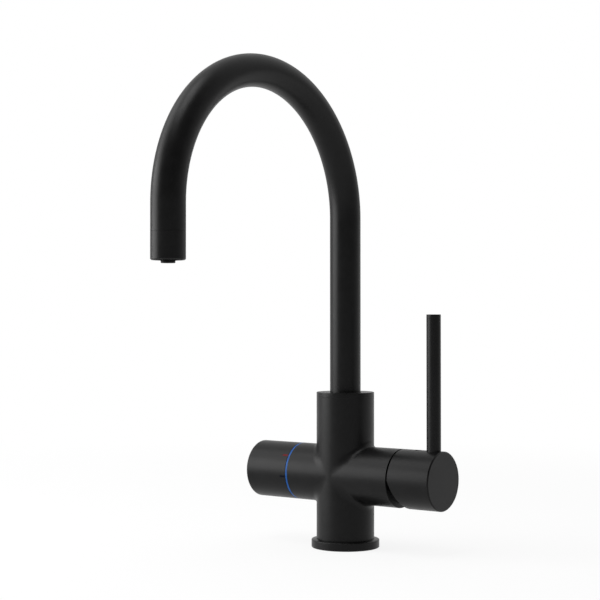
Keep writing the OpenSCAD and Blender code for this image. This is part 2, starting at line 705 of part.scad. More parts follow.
module aerator_screen() color("#b8babd") at_outlet() difference() {
    ring_z(screen_z, screen_t, aerator_d, nozzle_neck_d + 1);
    for (row = [0, 1], i = [1 : screen_row_n]) rotate([0, 0, (i + row / 2) * 360 / screen_row_n])
        translate([nozzle_neck_d / 2 + screen_row_first + screen_row_step * row, 0, screen_z - over])
            cylinder(h = screen_t + 2 * over, d = screen_hole_d, $fn = 16);
}

module aerator_washer() color("#151515") at_outlet()
    ring_z(washer_z, washer_t - seat_gap, aerator_d, sleeve_bore_d - 2 * sleeve_ledge);

module outlet_nozzle() color("#1f1f20") at_outlet() difference() {
    union() {
        rod_z(outlet_z - nozzle_out, nozzle_flange_z - outlet_z + nozzle_out + over, nozzle_d);
        rod_z(nozzle_flange_z + seat_gap, nozzle_flange_t, nozzle_d + 2 * nozzle_flange_w);
        rod_z(nozzle_flange_z, inner_tube_low_z + nozzle_neck_h - nozzle_flange_z, nozzle_neck_d);
    }
    rod_z(outlet_z - long / 2, 2 * long, riser_bore_d);
    ring_z(nozzle_groove_z - nozzle_ring_groove_w / 2, nozzle_ring_groove_w, nozzle_d + over,
        nozzle_d - 2 * nozzle_ring_groove);
}

module nozzle_o_ring() color("#151515") at_outlet()
    o_ring_z(nozzle_groove_z, nozzle_d - nozzle_ring_t, nozzle_ring_t);

// Mixer cartridge
module cartridge_ports(x, h, d) {
    for (side = [-1, 1]) rod_x_at(x, h, d, side * inlet_side, -inlet_drop);
    rod_x_at(x, h, d, 0, outlet_rise);
}

module cartridge_base() color("#d9d9d4") difference() {
    rod_x(seat_x, cart_base_t, cartridge_d);
    cartridge_ports(seat_x - over, cart_base_t + 2 * over, port_d - 1);
    cartridge_ports(seat_x - over, over + seal_t, port_d + 2 * seal_w);
}

module cartridge_seals() color("#151515") difference() {
    cartridge_ports(seat_x, seal_t - seat_gap, port_d + 2 * seal_w - 2 * seat_gap);
    cartridge_ports(seat_x - over, long, port_d);
}

module fixed_mixer_disc() color("#f2efe6") difference() {
    rod_x(fixed_disc_x, mixer_disc_t, cart_bore_d - 2 * seat_gap);
    cartridge_ports(fixed_disc_x - over, mixer_disc_t + 2 * over, port_d - 1.5);
}

module cartridge_housing() color("#d9d9d4") difference() {
    rod_x(fixed_disc_x, nut_x - fixed_disc_x, cartridge_d);
    rod_x(fixed_disc_x - over, rotor_shoulder_x + seat_gap * 2 - fixed_disc_x + over, cart_bore_d);
    rod_x(seat_x, cartridge_depth, rotor_neck_d + 2 * running_gap);
}

module cartridge_nut() color("#c9a551") difference() {
    rod_x(nut_x, cart_nut_h, cart_nut_d);
    rod_x(nut_x - over, cart_nut_h + 2 * over, rotor_neck_d + 2);
    for (i = [0 : 5]) translate([cover_x - nut_key_depth, 0, arm_z]) rotate([i * 60, 0, 0])
        translate([0, -nut_key_w / 2, cart_nut_d / 2 - nut_key_t])
            cube([nut_key_depth + over, nut_key_w, nut_key_t + over]);
}

// Half of the dome's section: distance from the arm's axis, and distance from the tilt pivot
module dome_section() {
    cover_at = cover_x - pivot_x;
    difference() {
        intersection() {
            circle(r = dome_r);
            translate([dome_mouth_d / 2, cover_at]) square(dome_r);
        }
        circle(r = dome_r - dome_wall);
    }
    difference() {
        translate([0, cover_at]) square([cart_nut_d / 2 - cover_rim_gap, dome_wall]);
        circle(r = dome_r - dome_wall / 2);
    }
}

module cartridge_cover() color("#202021") translate([pivot_x, 0, arm_z]) rotate([0, 90, 0])
    rotate_extrude() dome_section();

module cartridge_rotor() color("#e6e3da") difference() {
    union() {
        rod_x(rotor_x, rotor_shoulder_x - rotor_x, cart_bore_d - 2 * running_gap);
        rod_x(rotor_x, rotor_end_x - rotor_x, rotor_neck_d);
    }
    translate([rotor_x - over, -stem_w / 2 - moving_gap / 2, arm_z - rotor_slot_h / 2])
        cube([long, stem_w + moving_gap, rotor_slot_h]);
    pivot_pin_cut(seat_gap);
}

module pivot_pin_cut(gap) translate([pivot_x, -long, arm_z]) rotate([-90, 0, 0])
    cylinder(h = 2 * long, d = pivot_pin_d + 2 * gap);

module pivot_pin() color("#b8babd") translate([pivot_x, 0, arm_z]) rotate([90, 0, 0])
    cylinder(h = rotor_neck_d - 2 * pin_end_inset, d = pivot_pin_d, center = true);

// The moving disc waits at the low end of its travel while the lever is upright
module at_disc() translate([0, 0, -disc_travel / 2]) children();

module moving_mixer_disc() color("#f2efe6") at_disc() difference() {
    rod_x(moving_disc_x, mixer_disc_t, moving_disc_d);
    rod_x(moving_disc_x - over, over + mix_pocket, moving_disc_d - 2 * mix_pocket_rim);
}

module disc_carrier() color("#3f6f9f") difference() {
    at_disc() rod_x(carrier_x, carrier_t, moving_disc_d);
    rod_x(carrier_x + carrier_floor_t, carrier_t, stem_ball_d + 2 * moving_gap);
}

module cartridge_stem() color("#b8babd") difference() {
    union() {
        translate([pivot_x - stem_tail, 0, arm_z]) sphere(d = stem_ball_d, $fn = 48);
        translate([pivot_x - stem_tail, -stem_blade_w / 2, arm_z - stem_blade_w / 2])
            cube([stem_tail, stem_blade_w, stem_blade_w]);
        translate([pivot_x - stem_start, -stem_w / 2, arm_z - stem_w / 2])
            cube([stem_end_x - pivot_x + stem_start, stem_w, stem_w]);
    }
    pivot_pin_cut(running_gap);
}

// Mixer handle
module handle_shell() color("#2b2b2c") difference() {
    union() {
        difference() {
            edged_rod_x(handle_x, handle_len, arm_d, handle_edge);
            rod_x(handle_x - over, handle_bore_depth + over, handle_bore_d);
        }
        rod_x(handle_x + handle_bore_depth - handle_boss_h, handle_boss_h + over, handle_boss_d);
    }
    handle_slant_cut();
    translate([handle_x, -stem_w / 2 - seat_gap, arm_z - stem_w / 2 - seat_gap])
        cube([stem_end_x - handle_x + stem_hole_gap, stem_w + 2 * seat_gap, stem_w + 2 * seat_gap]);
    translate([grub_x, 0, arm_z]) {
        cylinder(h = long, d = grub_d + 2 * seat_gap);
        translate([0, 0, arm_d / 2 - plug_h]) cylinder(h = long, d = plug_d + 2 * seat_gap);
    }
    translate([lever_x, 0, arm_z]) {
        translate([0, 0, lever_thread_z - over]) cylinder(h = long, d = lever_thread_d + 2 * seat_gap);
        translate([0, 0, lever_seat_z]) cylinder(h = long, d = lever_d + 2 * seat_gap);
        translate([0, 0, arm_d / 2 - lever_sink_h]) cylinder(h = 2 * lever_sink_h,
            d1 = lever_d + 2 * seat_gap, d2 = lever_d + 2 * seat_gap + 4 * lever_sink_w);
    }
}

// The slanted cut below the handle's inner end
module handle_slant_cut() translate([handle_x, long / 2, arm_z]) rotate([90, 0, 0])
    linear_extrude(height = long)
        polygon([[-over, 0], [0, 0], [arm_d * tan(handle_slant), -arm_d], [-over, -arm_d]]);

module lever_rod() color("#2b2b2c") translate([lever_x, 0, arm_z]) difference() {
    union() {
        translate([0, 0, lever_thread_z]) cylinder(h = lever_thread_h + over, d = lever_thread_d);
        translate([0, 0, lever_seat_z])
            cylinder(h = lever_reach - lever_cap_h - lever_seat_z, d = lever_d);
    }
    translate([0, 0, lever_reach - lever_cap_h - cap_pin_h - cap_pin_gap])
        cylinder(h = long, d = lever_d / 2);
}

module lever_cap() color("#2b2b2c") translate([lever_x, 0, arm_z + lever_reach]) {
    translate([0, 0, -lever_edge]) cylinder(h = lever_edge, d1 = lever_d, d2 = lever_d - 2 * lever_edge);
    translate([0, 0, -lever_cap_h]) cylinder(h = lever_cap_h - lever_edge, d = lever_d);
    translate([0, 0, -lever_cap_h - cap_pin_h])
        cylinder(h = cap_pin_h + over, d = lever_d / 2 - 2 * seat_gap);
}

module grub_screw() difference() {
    cylinder(h = grub_h, d = grub_d);
    translate([0, 0, grub_h - grub_key_depth])
        cylinder(h = grub_key_depth + over, d = grub_d / 2, $fn = 6);
}

module handle_grub_screw() color("#8d8f92") translate([grub_x, 0, arm_z + stem_w / 2]) grub_screw();

module handle_screw_plug() color("#1a1a1b") intersection() {
    translate([grub_x, 0, arm_z + arm_d / 2 - plug_h + seat_gap]) cylinder(h = plug_h, d = plug_d);
    rod_x(handle_x, handle_len, arm_d - 2 * plug_sink);
}

// Filtered-water valve
module valve_housing() color("#c9a551") on_filter_arm() difference() {
    union() {
        rod_x(valve_seat_u, filter_arm_len - valve_seat_u, valve_nose_d);
        rod_x(valve_thread_u + valve_thread_relief, valve_thread_len, valve_thread_d);
        translate([filter_arm_len, 0, arm_z]) rotate([0, 90, 0])
            cylinder(h = valve_hex_h, d = valve_hex / cos(30), $fn = 6);
    }
    rod_x(valve_seat_u - over, spindle_flange_u + spindle_flange_t + seat_gap - valve_seat_u + over,
        valve_disc_d + 2 * running_gap);
    rod_x(valve_seat_u, long, spindle_d + 2 * running_gap);
    for (turn = [0, 90]) translate([spindle_flange_u, 0, arm_z]) rotate([turn, 0, 0])
        translate([-valve_window_back, -valve_window_w / 2, -long / 2])
            cube([valve_window_l, valve_window_w, long]);
}

module valve_gasket() color("#151515") on_filter_arm()
    ring_x(valve_seat_u, valve_gasket_t, valve_disc_d, port_d);

module valve_disc(u) difference() {
    rod_x(u, valve_disc_t, valve_disc_d);
    for (side = [-1, 1]) rod_x_at(u - over, valve_disc_t + 2 * over, disc_port_d,
        0, side * disc_port_r);
}

module fixed_valve_disc() color("#f2efe6") on_filter_arm() valve_disc(valve_fixed_u);

module moving_valve_disc() color("#f2efe6") on_filter_arm() valve_disc(valve_moving_u);

module valve_spindle() color("#c9a551") on_filter_arm() difference() {
    union() {
        rod_x(spindle_flange_u, spindle_flange_t, valve_disc_d);
        rod_x(spindle_flange_u, spindle_end_u - spindle_flange_u, spindle_d);
    }
    at_spindle_ring() small_ring_groove(0, spindle_d);
    rod_x(spindle_end_u - spindle_thread_h, long, adapter_screw_d + 2 * seat_gap);
}

module at_spindle_ring() translate([spindle_groove_u, 0, arm_z]) rotate([0, 90, 0]) children();

module spindle_o_ring() color("#151515") on_filter_arm() at_spindle_ring() small_ring(0, spindle_d);

// Filter knob
module indicator_ring() color("#2f5fb3") on_filter_arm()
    ring_x(filter_arm_len, indicator_w, arm_d, valve_hex / cos(30) + ring_hex_gap);

module mark_block(angle, gap) rotate([-angle, 0, 0]) translate([
        knob_u + mark_inset - gap, -arm_d / 2 - over, -mark_w / 2 - gap])
    cube([mark_len + 2 * gap, mark_t + over + gap, mark_w + 2 * gap]);

module knob_mark(angle) on_filter_arm() intersection() {
    rod_x(knob_u, knob_len, arm_d, $fn = 720);
    translate([0, 0, arm_z]) mark_block(angle, 0);
}

module red_mark() color("#8c2b33") knob_mark(red_mark_angle);

module dark_mark() color("#101014") knob_mark(dark_mark_angle);

module filter_knob_shell() color("#2b2b2c") on_filter_arm() difference() {
    round_rod_x(knob_u, knob_len, arm_d, knob_edge);
    rod_x(knob_u - over, knob_bore_depth + over, knob_bore_d);
    rod_x(knob_u, adapter_u + adapter_h + adapter_end_gap - knob_u, adapter_d + 2 * seat_gap);
    translate([knob_grub_u, 0, arm_z - arm_d]) cylinder(h = arm_d, d = grub_d + 2 * seat_gap);
    translate([0, 0, arm_z]) {
        mark_block(red_mark_angle, mark_gap);
        mark_block(dark_mark_angle, mark_gap);
    }
}

module knob_adapter() color("#e6e3da") on_filter_arm() difference() {
    rod_x(adapter_u, adapter_h, adapter_d);
    rod_x(adapter_u - over, adapter_web_u - adapter_u + over, spindle_d + 2 * seat_gap);
    rod_x(adapter_screw_u, long, adapter_room_d);
    rod_x(adapter_u, long, adapter_screw_d + 2 * seat_gap);
}

module adapter_screw() color("#8d8f92") on_filter_arm() difference() {
    union() {
        rod_x(adapter_screw_u - adapter_screw_h, adapter_screw_h + over, adapter_screw_d);
        rod_x(adapter_screw_u, adapter_head_h, adapter_head_d);
    }
    translate([adapter_screw_u + adapter_head_h / 2, 0, arm_z]) rotate([0, 90, 0])
        cylinder(h = adapter_head_h, d = adapter_key_d, $fn = 6);
}

module knob_grub_screw() color("#8d8f92")
    translate([-knob_grub_u, 0, arm_z - adapter_d / 2 - seat_gap]) rotate([180, 0, 0]) grub_screw();

body();
base_ring();
base_gasket();
top_collar();
upper_glide_ring();
lower_glide_ring();
spout_stop_screw();
filter_riser();
riser_o_ring();
indicator_ring();
cartridge_base();
cartridge_seals();
fixed_mixer_disc();
cartridge_housing();
cartridge_nut();
cartridge_cover();
valve_housing();
valve_gasket();
fixed_valve_disc();
spout_tube();
spout_foot();
spout_o_rings();
filter_tube_socket();
filter_water_tube();
outlet_sleeve();
aerator_insert();
aerator_screen();
aerator_washer();
outlet_nozzle();
nozzle_o_ring();
cartridge_rotor();
pivot_pin();
moving_mixer_disc();
disc_carrier();
cartridge_stem();
handle_shell();
lever_rod();
lever_cap();
handle_grub_screw();
handle_screw_plug();
filter_knob_shell();
red_mark();
dark_mark();
knob_adapter();
adapter_screw();
knob_grub_screw();
valve_spindle();
spindle_o_ring();
moving_valve_disc();
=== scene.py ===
# Three-way drinking water faucet in matt black: finishes, new outer pieces, light and camera
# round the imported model. All lengths in the dictionaries are millimetres.
import math

import bmesh
import bpy
from mathutils import Matrix, Vector


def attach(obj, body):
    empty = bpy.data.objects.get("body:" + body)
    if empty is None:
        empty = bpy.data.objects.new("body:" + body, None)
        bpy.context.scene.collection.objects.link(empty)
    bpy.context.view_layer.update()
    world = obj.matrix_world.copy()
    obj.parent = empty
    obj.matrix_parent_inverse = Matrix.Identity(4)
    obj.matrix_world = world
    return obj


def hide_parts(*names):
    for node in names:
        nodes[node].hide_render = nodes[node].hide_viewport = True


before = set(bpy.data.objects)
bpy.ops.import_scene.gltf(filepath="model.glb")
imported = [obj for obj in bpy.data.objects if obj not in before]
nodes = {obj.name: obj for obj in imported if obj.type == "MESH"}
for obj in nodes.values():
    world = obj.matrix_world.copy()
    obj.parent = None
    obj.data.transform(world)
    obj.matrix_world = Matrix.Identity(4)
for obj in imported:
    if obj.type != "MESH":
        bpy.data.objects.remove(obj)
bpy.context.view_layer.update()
mm = 0.001
armHeight = 59.0
bendRadius = 106.25
onArmAxis = Matrix.Translation((0, 0, armHeight * mm))
mixerSide = onArmAxis @ Matrix.Rotation(math.radians(90), 4, "Y")
filterSide = onArmAxis @ Matrix.Rotation(math.radians(-90), 4, "Y")
underOutlet = Matrix.Translation((0, -2 * bendRadius * mm, 0))
upright = Matrix.Identity(4)
print("frame loaded,", len(nodes), "nodes")

# ---------- finishes
# dark and light are the two tones of the mottle; rough is the range of the roughness; the edge colour is lighter,
# partly wear and partly a painted highlight on the softened edges
finishLooks = {
    "mattBlack": {"dark": (0.0033, 0.0033, 0.0034), "light": (0.0052, 0.0052, 0.0054), "rough": (0.33, 0.41),
                  "patch": 9.0, "grain": 0.22, "bump": 0.10, "wornAndHighlight": (0.03, 0.03, 0.031), "specular": 0.17},
    "blackPlastic": {"dark": (0.0022, 0.0022, 0.0024), "light": (0.0042, 0.0042, 0.0045), "rough": (0.46, 0.58),
                     "patch": 4.0, "grain": 0.30, "bump": 0.22, "wornAndHighlight": (0.012, 0.012, 0.0125), "specular": 0.1},
    "plugPlastic": {"dark": (0.004, 0.004, 0.0042), "light": (0.008, 0.008, 0.0085), "rough": (0.5, 0.6),
                    "patch": 2.0, "grain": 0.25, "bump": 0.2, "wornAndHighlight": (0.02, 0.02, 0.02), "specular": 0.15},
    "blueRing": {"dark": (0.010, 0.068, 0.26), "light": (0.016, 0.095, 0.33), "rough": (0.28, 0.4),
                 "patch": 3.0, "grain": 0.20, "bump": 0.06, "wornAndHighlight": (0.03, 0.12, 0.38), "specular": 0.12},
    "redPaint": {"dark": (0.10, 0.007, 0.010), "light": (0.15, 0.011, 0.015), "rough": (0.5, 0.62),
                 "patch": 1.2, "grain": 0.18, "bump": 0.2, "wornAndHighlight": (0.12, 0.03, 0.03), "specular": 0.06},
    "darkPaint": {"dark": (0.003, 0.0034, 0.008), "light": (0.0045, 0.005, 0.012), "rough": (0.5, 0.62),
                  "patch": 1.2, "grain": 0.18, "bump": 0.2, "wornAndHighlight": (0.008, 0.008, 0.012), "specular": 0.03},
    "brass": {"dark": (0.62, 0.44, 0.17), "light": (0.76, 0.57, 0.26), "rough": (0.24, 0.4), "metal": 1.0,
              "patch": 6.0, "grain": 0.15, "bump": 0.12, "wornAndHighlight": (0.85, 0.66, 0.34)},
    "steel": {"dark": (0.46, 0.46, 0.47), "light": (0.6, 0.6, 0.61), "rough": (0.22, 0.36), "metal": 1.0,
              "patch": 5.0, "grain": 0.12, "bump": 0.12, "wornAndHighlight": (0.7, 0.7, 0.7)},
    "rubber": {"dark": (0.01, 0.01, 0.01), "light": (0.017, 0.017, 0.017), "rough": (0.6, 0.75),
               "patch": 2.5, "grain": 0.35, "bump": 0.25, "wornAndHighlight": (0.03, 0.03, 0.03), "specular": 0.2},
    "whitePlastic": {"dark": (0.68, 0.67, 0.62), "light": (0.78, 0.77, 0.73), "rough": (0.38, 0.5),
                     "patch": 5.0, "grain": 0.30, "bump": 0.1, "wornAndHighlight": (0.82, 0.81, 0.78)},
    "bluePlastic": {"dark": (0.045, 0.15, 0.34), "light": (0.07, 0.21, 0.43), "rough": (0.38, 0.5),
                    "patch": 4.0, "grain": 0.30, "bump": 0.1, "wornAndHighlight": (0.12, 0.28, 0.5)},
    "ceramic": {"dark": (0.8, 0.79, 0.74), "light": (0.88, 0.87, 0.83), "rough": (0.12, 0.22),
                "patch": 3.0, "grain": 0.10, "bump": 0.04, "wornAndHighlight": (0.9, 0.9, 0.88)},
    "waterTube": {"dark": (0.66, 0.71, 0.75), "light": (0.77, 0.82, 0.86), "rough": (0.3, 0.42),
                  "patch": 7.0, "grain": 0.25, "bump": 0.06, "wornAndHighlight": (0.85, 0.88, 0.9)},
}
# the record's slot for each finish
slotFinish = {"matt_black": "mattBlack", "black_collar": "mattBlack", "black_plastic": "blackPlastic",
              "brass": "brass", "steel": "steel", "rubber": "rubber", "white_plastic": "whitePlastic",
              "blue_plastic": "bluePlastic", "ceramic": "ceramic", "blue_ring": "blueRing",
              "red_paint": "redPaint", "dark_paint": "darkPaint", "water_tube": "waterTube"}


def addNode(tree, kind, settings=None, **inputs):
    node = tree.nodes.new(kind)
    for key, value in (settings or {}).items():
        setattr(node, key, value)
    for key, value in inputs.items():
        socket = node.inputs[int(key[1:])] if key[1:].isdigit() else node.inputs[key.replace("_", " ")]
        if isinstance(value, bpy.types.NodeSocket):
            tree.links.new(value, socket)
        else:
            socket.default_value = value
    return node


def makeGroup(name, inputs, outputs):
    group = bpy.data.node_groups.new(name, "ShaderNodeTree")
    for label, value in inputs.items():
        socket = group.interface.new_socket(label, in_out="INPUT", socket_type="NodeSocketFloat")
        socket.default_value = value
    for label in outputs:
        group.interface.new_socket(label, in_out="OUTPUT", socket_type="NodeSocketFloat")
    return group, group.nodes.new("NodeGroupInput"), group.nodes.new("NodeGroupOutput")


# coat grain: a fine orange-peel height, and a slow mottle for tone and gloss
grainGroup, given, put = makeGroup("coatGrain", {"Patch": 100.0, "Grain": 4000.0}, ("Mottle", "Speck", "Height"))
place = addNode(grainGroup, "ShaderNodeTexCoord").outputs["Object"]
mottle = addNode(grainGroup, "ShaderNodeTexNoise", Vector=place, Scale=given.outputs["Patch"], Detail=3.0,
                 Roughness=0.6)
speck = addNode(grainGroup, "ShaderNodeTexNoise", Vector=place, Scale=given.outputs["Grain"], Detail=1.0)
peel = addNode(grainGroup, "ShaderNodeTexVoronoi", {"feature": "SMOOTH_F1"}, Vector=place,
               Scale=given.outputs["Grain"], Smoothness=0.8)
high = addNode(grainGroup, "ShaderNodeMath", {"operation": "MULTIPLY_ADD"}, i0=peel.outputs["Distance"],
               i1=0.6, i2=speck.outputs["Fac"])
stretch = addNode(grainGroup, "ShaderNodeMapRange", Value=mottle.outputs["Fac"], From_Min=0.32, From_Max=0.68)
grainGroup.links.new(stretch.outputs["Result"], put.inputs["Mottle"])
grainGroup.links.new(speck.outputs["Fac"], put.inputs["Speck"])
grainGroup.links.new(high.outputs["Value"], put.inputs["Height"])

# edge wear and painted highlight: the softened edges carry a marking attribute, and a noise breaks it up; the lighter
# edge colour stands partly for real wear and partly for a painted highlight where the edges catch the light
wearAndHighlightGroup, given, put = makeGroup("edgeWearAndHighlight", {"Amount": 0.3, "Breakup": 900.0}, ("Mask",))
edge = addNode(wearAndHighlightGroup, "ShaderNodeAttribute", {"attribute_name": "edgeWearAndHighlight"})
place = addNode(wearAndHighlightGroup, "ShaderNodeTexCoord").outputs["Object"]
spots = addNode(wearAndHighlightGroup, "ShaderNodeTexNoise", Vector=place, Scale=given.outputs["Breakup"], Detail=3.0)
broken = addNode(wearAndHighlightGroup, "ShaderNodeMapRange", Value=spots.outputs["Fac"], From_Min=0.35, From_Max=0.65)
wornAndHighlight = addNode(wearAndHighlightGroup, "ShaderNodeMath", {"operation": "MULTIPLY"}, i0=edge.outputs["Fac"],
               i1=broken.outputs["Result"])
mask = addNode(wearAndHighlightGroup, "ShaderNodeMath", {"operation": "MULTIPLY", "use_clamp": True}, i0=wornAndHighlight.outputs["Value"],
               i1=given.outputs["Amount"])
wearAndHighlightGroup.links.new(mask.outputs["Value"], put.inputs["Mask"])


def makeFinish(name, look):
    material = bpy.data.materials.new(name)
    material.use_nodes = True
    tree = material.node_tree
    tree.nodes.clear()
    grain = addNode(tree, "ShaderNodeGroup", {"node_tree": grainGroup},
                    Patch=1 / (look["patch"] * mm), Grain=1 / (look["grain"] * mm))
    wear = addNode(tree, "ShaderNodeGroup", {"node_tree": wearAndHighlightGroup}, Amount=look.get("wear", 0.35))
    tone = addNode(tree, "ShaderNodeMix", {"data_type": "RGBA"}, Factor=grain.outputs["Mottle"],
                   i6=(*look["dark"], 1), i7=(*look["light"], 1))
    # the softened edges get the lighter edge colour: partly wear, partly a painted highlight
    colour = addNode(tree, "ShaderNodeMix", {"data_type": "RGBA"}, Factor=wear.outputs["Mask"],
                     i6=tone.outputs[2], i7=(*look["wornAndHighlight"], 1))
    low, top = look["rough"]
    mixed = addNode(tree, "ShaderNodeMath", {"operation": "MULTIPLY_ADD"}, i0=grain.outputs["Mottle"], i1=0.7,
                    i2=grain.outputs["Speck"])
    rough = addNode(tree, "ShaderNodeMapRange", Value=mixed.outputs["Value"], From_Min=0.3, From_Max=1.4,
                    To_Min=low, To_Max=top)
    bump = addNode(tree, "ShaderNodeBump", Height=grain.outputs["Height"], Strength=look["bump"],
                   Distance=look["grain"] * mm * 0.25)
    shader = addNode(tree, "ShaderNodeBsdfPrincipled", Base_Color=colour.outputs[2], Roughness=rough.outputs["Result"],
                     Normal=bump.outputs["Normal"])
    shader.inputs["Metallic"].default_value = look.get("metal", 0.0)
    shader.inputs["Specular IOR Level"].default_value = look.get("specular", 0.5)
    end = tree.nodes.new("ShaderNodeOutputMaterial")
    tree.links.new(shader.outputs["BSDF"], end.inputs["Surface"])
    return material


finishes = {name: makeFinish(name, look) for name, look in finishLooks.items()}
slotNames = set()
for node in nodes.values():
    slotName = node.data.materials[0].name.split(".")[0] if node.data.materials else ""
    slotNames.add(slotName)
    node.data.materials.clear()
    node.data.materials.append(finishes[slotFinish.get(slotName, "mattBlack")])
print("finishes made,", len(finishes), "kinds; slots", sorted(slotNames))


# ---------- shaping helpers
def startShape():
    shape = bmesh.new()
    shape.verts.layers.float.new("edgeWearAndHighlight")
    return shape


def soften(shape, edges, width, segments=3):
    # rounds these edges and marks the rounding for the edge wear and the painted edge highlight
    wear = shape.verts.layers.float["edgeWearAndHighlight"]
    made = bmesh.ops.bevel(shape, geom=edges, offset=width * mm, offset_type="OFFSET", segments=segments, profile=0.5,
                           affect="EDGES", clamp_overlap=True, material=-1)
    rounded = set(made["faces"])
    for face in rounded:
        for vert in face.verts:
            if all(near in rounded for near in vert.link_faces):
                vert[wear] = 1.0


def ringEdges(shape, radius, height):
    return [e for e in shape.edges if all(
        abs(v.co.xy.length - radius * mm) < 2e-6 and abs(v.co.z - height * mm) < 2e-6 for v in e.verts)]


def turn(profile, steps=192, closed=True):
    # profile: corners as (radius, height) or (radius, height, softened width, segments), turned round Z
    shape = startShape()
    verts = [shape.verts.new((corner[0] * mm, 0, corner[1] * mm)) for corner in profile]
    edges = [shape.edges.new(pair) for pair in zip(verts, verts[1:])]
    if closed and profile[0][0] > 0:
        edges.append(shape.edges.new((verts[-1], verts[0])))
    bmesh.ops.spin(shape, geom=verts + edges, cent=(0, 0, 0), axis=(0, 0, 1), angle=2 * math.pi, steps=steps,
                   use_merge=True, use_duplicate=False)
    bmesh.ops.remove_doubles(shape, verts=shape.verts, dist=1e-6)
    bmesh.ops.recalc_face_normals(shape, faces=shape.faces)
    for corner in profile:
        if len(corner) > 2:
            soften(shape, ringEdges(shape, corner[0], corner[1]), *corner[2:])
    return shape


def finishPiece(name, shape, matrix, body, finish, slotName, *stoodFor):
    shape.transform(matrix)
    mesh = bpy.data.meshes.new(name)
    shape.to_mesh(mesh)
    shape.free()
    piece = bpy.data.objects.new(name, mesh)
    bpy.context.scene.collection.objects.link(piece)
    return dress(piece, body, finish, slotName, *stoodFor)


def dress(piece, body, finish, slotName, *stoodFor):
    piece.data.materials.clear()
    piece.data.materials.append(finishes[finish])
    piece.data.shade_smooth()
    piece.data.set_sharp_from_angle(angle=math.radians(35))
    even = piece.modifiers.new("even shading", "WEIGHTED_NORMAL")
    even.keep_sharp = True
    even.weight = 100
    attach(piece, body)
    if stoodFor:
        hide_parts(*stoodFor)
    return piece


def cutter(shape, matrix=upright):
    shape.transform(matrix)
    mesh = bpy.data.meshes.new("cutter")
    shape.to_mesh(mesh)
    shape.free()
    tool = bpy.data.objects.new("cutter", mesh)
    bpy.context.scene.collection.objects.link(tool)
    return tool


def drill(diameter, start, end, matrix):
    shape = bmesh.new()
    bmesh.ops.create_cone(shape, cap_ends=True, segments=64, radius1=diameter / 2 * mm, radius2=diameter / 2 * mm,
                          depth=(end - start) * mm, matrix=Matrix.Translation((0, 0, (start + end) / 2 * mm)))
    return cutter(shape, matrix)


def block(low, top):
    shape = bmesh.new()
    bmesh.ops.create_cube(shape, size=1.0)
    size = [(b - a) * mm for a, b in zip(low, top)]
    middle = [(a + b) / 2 * mm for a, b in zip(low, top)]
    bmesh.ops.scale(shape, vec=size, verts=shape.verts)
    bmesh.ops.translate(shape, vec=middle, verts=shape.verts)
    return cutter(shape)


def cutAway(shape, matrix, tools):
    # a solid with the tools taken out of it, as a new bmesh in the faucet's frame
    mesh = bpy.data.meshes.new("uncut")
    shape.transform(matrix)
    shape.to_mesh(mesh)
    shape.free()
    whole = bpy.data.objects.new("uncut", mesh)
    bpy.context.scene.collection.objects.link(whole)
    for tool in tools:
        cut = whole.modifiers.new("cut", "BOOLEAN")
        cut.operation = "DIFFERENCE"
        cut.solver = "EXACT"
        cut.object = tool
    result = bpy.data.meshes.new_from_object(whole.evaluated_get(bpy.context.evaluated_depsgraph_get()))
    left = bmesh.new()
    left.from_mesh(result)
    for spare in [whole, *tools]:
        spareMesh = spare.data
        bpy.data.objects.remove(spare)
        bpy.data.meshes.remove(spareMesh)
    bpy.data.meshes.remove(result)
    return left


def rimEdges(shape, centre, axis, radius, low, top):
    # sharp edges on the rim of a drilled hole
    found = []
    for e in shape.edges:
        if len(e.link_faces) != 2 or e.calc_face_angle(0) < math.radians(25):
            continue
        inside = True
        for v in e.verts:
            away = v.co - centre
            along = away.dot(axis)
            if not (low * mm <= along <= top * mm and abs((away - along * axis).length - radius * mm) < 0.02 * mm):
                inside = False
        if inside:
            found.append(e)
    return found


# ---------- column and both arms: one casting, with a rolled fillet where an arm meets the column
# bores are (radius, place along the bore's axis); softer is added to the fillet at the front and back
castSizes = {"columnRadius": 23.45, "armRadius": 23.35, "fillet": 5.0, "softer": 30.0, "softTo": 0.8,
             "top": 122.0, "seat": 4.9, "foot": 22.0,
             "mixerEnd": 54.8, "filterEnd": 42.5, "around": 160, "across": 12, "edge": 0.14,
             "spoutBore": ((20.0, 122.0), (20.0, 112.0), (16.0, 112.0), (16.0, 90.0)),
             "mixerBore": ((19.55, 54.8), (19.55, 44.6), (17.55, 44.6), (17.55, 20.0)),
             "valveBore": ((10.55, -42.5), (10.55, -30.0), (12.5, -30.0), (12.5, -18.0))}


def extrudeRing(shape, edges, move):
    made = bmesh.ops.extrude_edge_only(shape, edges=edges)["geom"]
    verts = [g for g in made if isinstance(g, bmesh.types.BMVert)]
    for v in verts:
        v.co = move(v)
    new = set(verts)
    return [g for g in made if isinstance(g, bmesh.types.BMEdge) and all(v in new for v in g.verts)]


